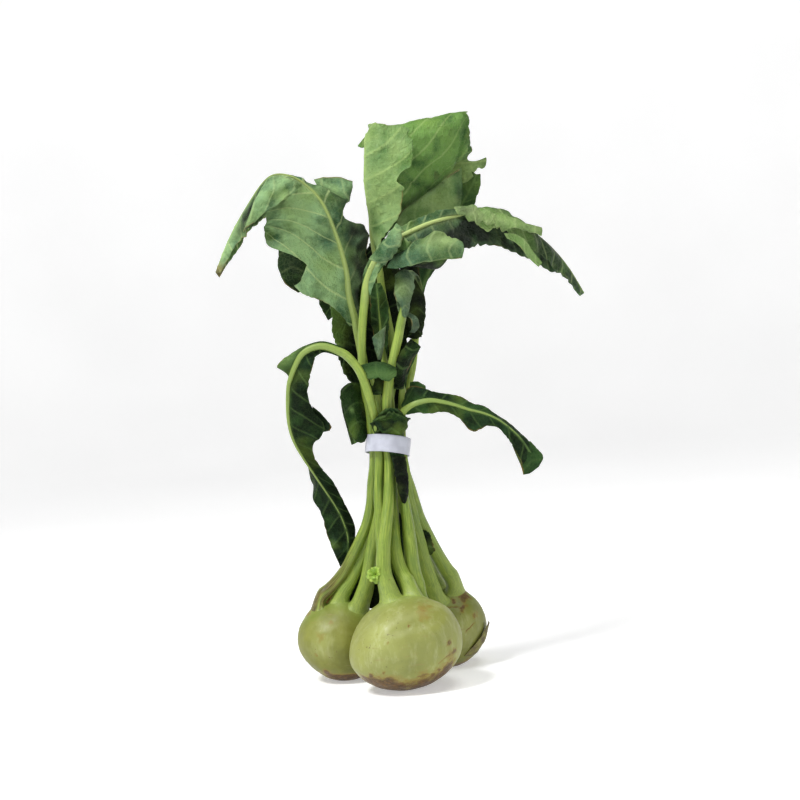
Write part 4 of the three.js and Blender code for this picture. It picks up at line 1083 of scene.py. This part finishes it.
def stem_run(name, centre):
    """Evenly spaced points from inside the bulb up the stem and on along the leaf's rib, with the
    radius and distance at each, and how far up the stem it is."""
    rib, out = ribs[name]
    path, wide = stem_line(name)
    length = arc(path, 0)[-1]
    reach = RIB_REACH.get(name, 0.92)
    share = np.clip(np.linspace(0, 1, len(rib)) / reach, 0, 1)
    rib_radius = wide[-1] * (0.80 * (1 - share) ** 1.4 + 0.08)
    on_rib = rib + out * (rib_radius * 0.45)[:, None]
    skip = int(np.searchsorted(arc(rib, 0), 6.0))
    stop = max(int(reach * len(rib)), skip + 2)
    inside = path[0] + 5.0 * unit(centre - path[0])
    path = np.concatenate([[inside], path, on_rib[skip:stop]])
    wide = np.concatenate([[wide[0]], wide, rib_radius[skip:stop]])
    distance = arc(path, 0)
    even = np.linspace(0, distance[-1], int(distance[-1] / SPACING))
    pts = np.stack([np.interp(even, distance, path[:, a]) for a in range(3)], -1)
    rad = np.interp(even, distance, wide)
    for _ in range(SMOOTHING):
        pts[1:-1] = (pts[:-2] + 2 * pts[1:-1] + pts[2:]) / 4
        rad[1:-1] = (rad[:-2] + 2 * rad[1:-1] + rad[2:]) / 4
    stout = 1 + (STOUT.get(name, 1.1) - 1) * step(150.0, 90.0, pts[:, 2])
    rad = rad * (stout + 0.25 * np.exp(-even / 45.0) + 0.5 * np.exp(-even / 8.0))
    return pts, rad, even, np.clip(even / length, 0, 1.5)


def directions(line, start):
    """At each point the way along a line and two ways square to it that turn as little as can be."""
    ahead = unit(np.gradient(line, axis=0))
    side = np.empty_like(line)
    for k, way in enumerate(ahead):
        start = unit(start - way * float(start @ way))
        side[k] = start
    return ahead, side, np.cross(ahead, side)


def grow_stem(name, bulb, seed):
    """A stem from inside its bulb, flared at the foot, that runs on as the leaf's rib."""
    centre = SKINS[bulb][0]
    pts, rad, even, up = stem_run(name, centre)
    foot = stem_line(name)[0][0]
    ahead, side, other = directions(pts, unit(np.cross([0, 0, 1.0], foot - centre)))
    angle = np.arange(SIDES) / SIDES * 2 * math.pi
    flare = 0.7 * np.exp(-even / 10.0)[:, None]
    c, d = np.cos(angle)[None], np.sin(angle)[None]
    ridges = 0.10 * np.sin(5 * angle[None] + 1.3 * np.sin(even[:, None] / 40.0))
    ridges = ridges + 0.06 * np.sin(9 * angle[None] + even[:, None] / 60)
    where = np.stack(np.broadcast_arrays(c * 1.5, d * 1.5, even[:, None] / 10.0), -1)
    groove = -0.25 * np.exp(-((np.angle(np.exp(1j * (angle[None] - 1.2)))) / 0.45) ** 2)
    bumps = (ridges + 0.2 * noise(where, 1.0, seed) + groove) * np.clip(rad[:, None] / 3, 0.1, 1.2)
    r = rad[:, None] + bumps
    rings = (pts[:, None] + side[:, None] * (r * c * (1 + flare))[..., None]
             + other[:, None] * (r * d)[..., None])
    low = even < 20
    settle = step(19.0, 4.0, even[low])[:, None, None]
    rings[low] = rings[low] + (into_bulb(bulb, rings[low]) - rings[low]) * settle
    tips = np.stack([rings[0].mean(0), pts[-1] + 0.4 * ahead[-1]])
    shape = (len(pts), SIDES)
    skin = np.stack([c * rad[:, None] + 10 * (seed % 13), np.broadcast_to(d * rad[:, None], shape),
                     np.broadcast_to(even[:, None], shape)], -1).reshape(-1, 3)
    dark = np.zeros(shape)
    if name == WITHERED:
        grain = np.stack(np.broadcast_arrays(c * 3.4, d * 3.4, even[:, None] / 22.0), -1)
        streaks = noise(grain, 0.7, 7)
        below = unit(rings - pts[:, None]) @ unit(np.array([-1.0, -0.3, -0.5]))
        dark = 0.9 * step(75.0, 20.0, even[:, None] + 12 * streaks)
        dark = dark * step(-0.1, 0.4, below + 0.7 * streaks)
    layers = {"stalkmap": skin, "up": np.repeat(up, SIDES), "dark": dark.ravel(),
              "light": np.full(len(skin), RIB_LIGHT.get(name, 0.0))}
    new_tube("stem_" + name, rings, tips, STALK, layers)


for bulb_name, stem_names in BULB_STEMS.items():
    for stem_name in stem_names:
        grow_stem(stem_name, bulb_name, 200 + 7 * STEMS.index(stem_name))


# ---- tie, sprout and leaf scar ------------------------------------------------------------------
def thin_shell(grid, thick):
    """Points and faces of a sheet of even thickness round a grid."""
    normal = normals(grid) * thick / 2
    points = np.concatenate([(grid + normal).reshape(-1, 3), (grid - normal).reshape(-1, 3)])
    keep = np.ones((grid.shape[0] - 1, grid.shape[1] - 1), bool)
    return points, shell(keep, *grid.shape[:2])[:, ::-1]


TAPE = 0.35               # thickness of the tape, mm
LAP = 0.5                 # how far its end laps over, in radians
CURL = 0.9                # how far a leaf of the sprout bends, in radians


def grow_tie():
    """The tape: a thin band wound round with its end lapped over, slightly wavy."""
    points, _ = welded("tie_band")
    centre = points.mean(0)
    axis = np.linalg.svd(points - centre, full_matrices=False)[2][2]
    axis = axis if axis[2] > 0 else -axis
    east = unit(np.array([1.0, 0, 0]) - axis * axis[0])
    north = np.cross(axis, east)
    flat = (points - centre) @ np.stack([east, north, axis]).T
    wide, deep, tall = (flat.max(0) - flat.min(0)) / 2
    start = 0.65
    a = start + np.linspace(0, 2 * math.pi + LAP, 230)
    rise = np.linspace(-1, 1, 15)
    lap = step(2 * math.pi - 0.15, 2 * math.pi + 0.12, a - start) * 0.55
    sag = 0.16 * noise(along(a * 16, 3), 9.0, 5)
    grid = []
    for t in rise:
        r = lap + sag * (0.5 + 0.5 * t) - 0.12 * t * t + 0.06 * noise(along(a * 16 + 40 * t, 4), 3.0, 6)
        z = t * tall + 0.15 * noise(along(a * 16, 8 if t > 0 else 9), 12.0, 8) * abs(t)
        grid.append(centre + east * ((wide - 0.25 + r) * np.cos(a))[:, None]
                    + north * ((deep - 0.25 + r) * np.sin(a))[:, None] + axis * z[:, None])
    points, faces = thin_shell(np.array(grid).transpose(1, 0, 2), TAPE)
    new_piece("tie_band", points, [faces], tape_material(), {})


def leaflet(base, way, side, length, width, seed):
    """A small pointed blade that curls away from `way` towards the cross of way and side."""
    up = np.cross(way, side)
    t = np.linspace(0, 1, 12)[:, None]
    s = np.linspace(-1, 1, 7)[None]
    half = width * np.sin(math.pi * np.clip(t * 0.86 + 0.12, 0, 1)) ** 0.6
    half = half * (1 + 0.25 * np.sin(9 * t + seed))
    bend = CURL * t
    line = base + way * (length * np.sin(bend) / CURL)[..., None]
    line = line + up * (length * (1 - np.cos(bend)) / CURL)[..., None]
    grid = line + side * (half * s)[..., None] + up * (0.35 * width * s * s)[..., None]
    return grid + 0.35 * np.stack([noise(grid, 1.6, seed + k) for k in range(3)], -1)


def shells(name, grids, thick, material):
    """One piece made of several thin sheets."""
    points, faces, layers = joined([thin_shell(grid, thick) + ({},) for grid in grids])
    new_piece(name, points, [faces], material, layers)


def grow_sprout():
    """Twenty small leaves, each turned on from the last and leaning out further."""
    low, high = (np.array(corner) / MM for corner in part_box("sprout"))
    middle = (low + high) / 2
    chance = np.random.default_rng(5)
    facing = unit(np.array([-0.3, -0.8, 0.5]))
    east = unit(np.cross(facing, [0, 0, 1.0]))
    north = np.cross(east, facing)
    grids = []
    for k in range(20):
        a = 2.4 * k
        lean = 0.2 + 0.065 * k
        out = east * math.cos(a) + north * math.sin(a)
        way = unit(out * math.sin(lean) + facing * math.cos(lean))
        side = unit(np.cross(way, facing))
        base = middle + np.array([-1.6, -2.5, -2.0]) + out * 0.6
        size = float(chance.uniform(0.8, 1.2))
        grids.append(leaflet(base, way, side, 5.6 * size, 1.9 * size, 70 + 3 * k))
    skin = grainy("sprout_skin", srgb(112, 148, 42), srgb(162, 186, 74), 300.0, 0.5)
    shells("sprout", grids, 0.35, skin)


def grow_scar():
    """A dead leaf base: a broad dry scale up the side of the back bulb, its tip standing off."""
    low, high = (np.array(corner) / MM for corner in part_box("bulb_back"))
    middle, half = (low + high) / 2, (high - low) / 2
    t, s = np.meshgrid(np.linspace(0, 1, 26), np.linspace(-1, 1, 17), indexing="ij")
    z = 8 + 22 * t + 1.5 * np.abs(s)
    azimuth = -0.80 + 0.55 * t + s * 0.30 * (1 - t) ** 0.7
    out = np.sqrt(np.clip(1 - ((z - middle[2]) / half[2]) ** 2, 0.02, 1)) + (0.4 + 2.2 * t**2) / half[0]
    x = middle[0] + half[0] * out * np.cos(azimuth)
    y = middle[1] + half[1] * out * np.sin(azimuth)
    grid = np.stack([x, y, z], -1)
    grid = grid + 0.5 * np.stack([noise(grid, 4.0, seed) for seed in (91, 92, 93)], -1)
    skin = grainy("scar_skin", srgb(78, 66, 34), srgb(122, 120, 62), 260.0, 0.7)
    shells("leaf_scar", [grid], 0.6, skin)


grow_tie()
grow_sprout()
grow_scar()


# ---- floor, light and camera --------------------------------------------------------------------
FLOOR, BEND, WALL = 1.9, 0.9, 1.5       # radius, radius of the rim's curve and height, m
AROUND = 96                             # sides of the backdrop


def build_stage():
    """A round studio floor whose rim curves up into a wall all round."""
    profile = [(0.05, 0.0), (0.6, 0.0), (1.2, 0.0), (FLOOR, 0.0)]
    for k in range(1, 17):
        a = k / 16 * math.pi / 2
        profile.append((FLOOR + BEND * math.sin(a), BEND - BEND * math.cos(a)))
    profile.append((FLOOR + BEND, WALL))
    a = np.arange(AROUND) / AROUND * 2 * math.pi
    points = np.array([[(r * math.cos(t), r * math.sin(t), z) for t in a] for r, z in profile])
    faces = tube_faces(len(profile), AROUND).tolist() + [list(range(AROUND))[::-1]]
    mesh = bpy.data.meshes.new("backdrop")
    mesh.from_pydata(points.reshape(-1, 3).tolist(), [], faces)
    mesh.polygons.foreach_set("use_smooth", np.full(len(mesh.polygons), True))
    m = Shade("backdrop_paper")
    grain = m.range(m.noise(m.place(), 4.0, 2.0, 0.5), 0.3, 0.7)
    paper = m.mix(grain, srgb(232, 232, 232), srgb(238, 238, 238))
    paper = m.finish(paper, 0.9, Emission_Color=(1, 1, 1, 1), Emission_Strength=0.36)
    mesh.materials.append(paper)
    backdrop = bpy.data.objects.new("backdrop", mesh)
    bpy.context.scene.collection.objects.link(backdrop)


def add_light(name, place, target, size, power):
    """A round soft lamp of `size` metres and `power` watts that faces the target."""
    lamp = bpy.data.lights.new(name, "AREA")
    lamp.shape = "DISK"
    lamp.size = size
    lamp.energy = power
    made = bpy.data.objects.new(name, lamp)
    made.location = place
    made.rotation_mode = "QUATERNION"
    made.rotation_quaternion = (Vector(target) - Vector(place)).to_track_quat("-Z", "Y")
    bpy.context.scene.collection.objects.link(made)


def build_light():
    """A faint white sky, a key light from the left, one overhead and a weak one in front."""
    world = bpy.data.worlds.new("studio")
    world.use_nodes = True
    world.node_tree.nodes["Background"].inputs[0].default_value = (1, 1, 1, 1)
    world.node_tree.nodes["Background"].inputs[1].default_value = 0.05
    bpy.context.scene.world = world
    centre = (0, 0, 0.2)
    add_light("key", (-0.9, -0.7, 1.6), centre, 0.45, 32.0)
    add_light("top", (0.3, -0.2, 1.9), centre, 1.0, 15.0)
    add_light("front", (0.5, -1.7, 1.0), centre, 1.0, 2.5)
    bpy.context.scene.view_settings.view_transform = "Standard"


ELEVATION, ROLL = 3.0, 5.0              # degrees
DISTANCE = 1.3                          # m
LENS, SENSOR = 81.25, 36.0              # mm
AIM = Vector((-0.0092, -0.0075, 0.201))


def build_camera():
    """A camera that looks at AIM from the front, a little from above and rolled."""
    e, r = math.radians(ELEVATION), math.radians(ROLL)
    ahead = Vector((0, math.cos(e), -math.sin(e)))
    up0 = Vector((0, math.sin(e), math.cos(e)))
    right0 = Vector((1, 0, 0))
    up = up0 * math.cos(r) + right0 * math.sin(r)
    right = right0 * math.cos(r) - up0 * math.sin(r)
    data = bpy.data.cameras.new("camera")
    data.lens = LENS
    data.sensor_width = SENSOR
    camera = bpy.data.objects.new("camera", data)
    matrix = Matrix((right, up, -ahead)).transposed().to_4x4()
    matrix.translation = AIM - ahead * DISTANCE
    camera.matrix_world = matrix
    bpy.context.scene.collection.objects.link(camera)
    bpy.context.scene.camera = camera


build_stage()
build_light()
build_camera()
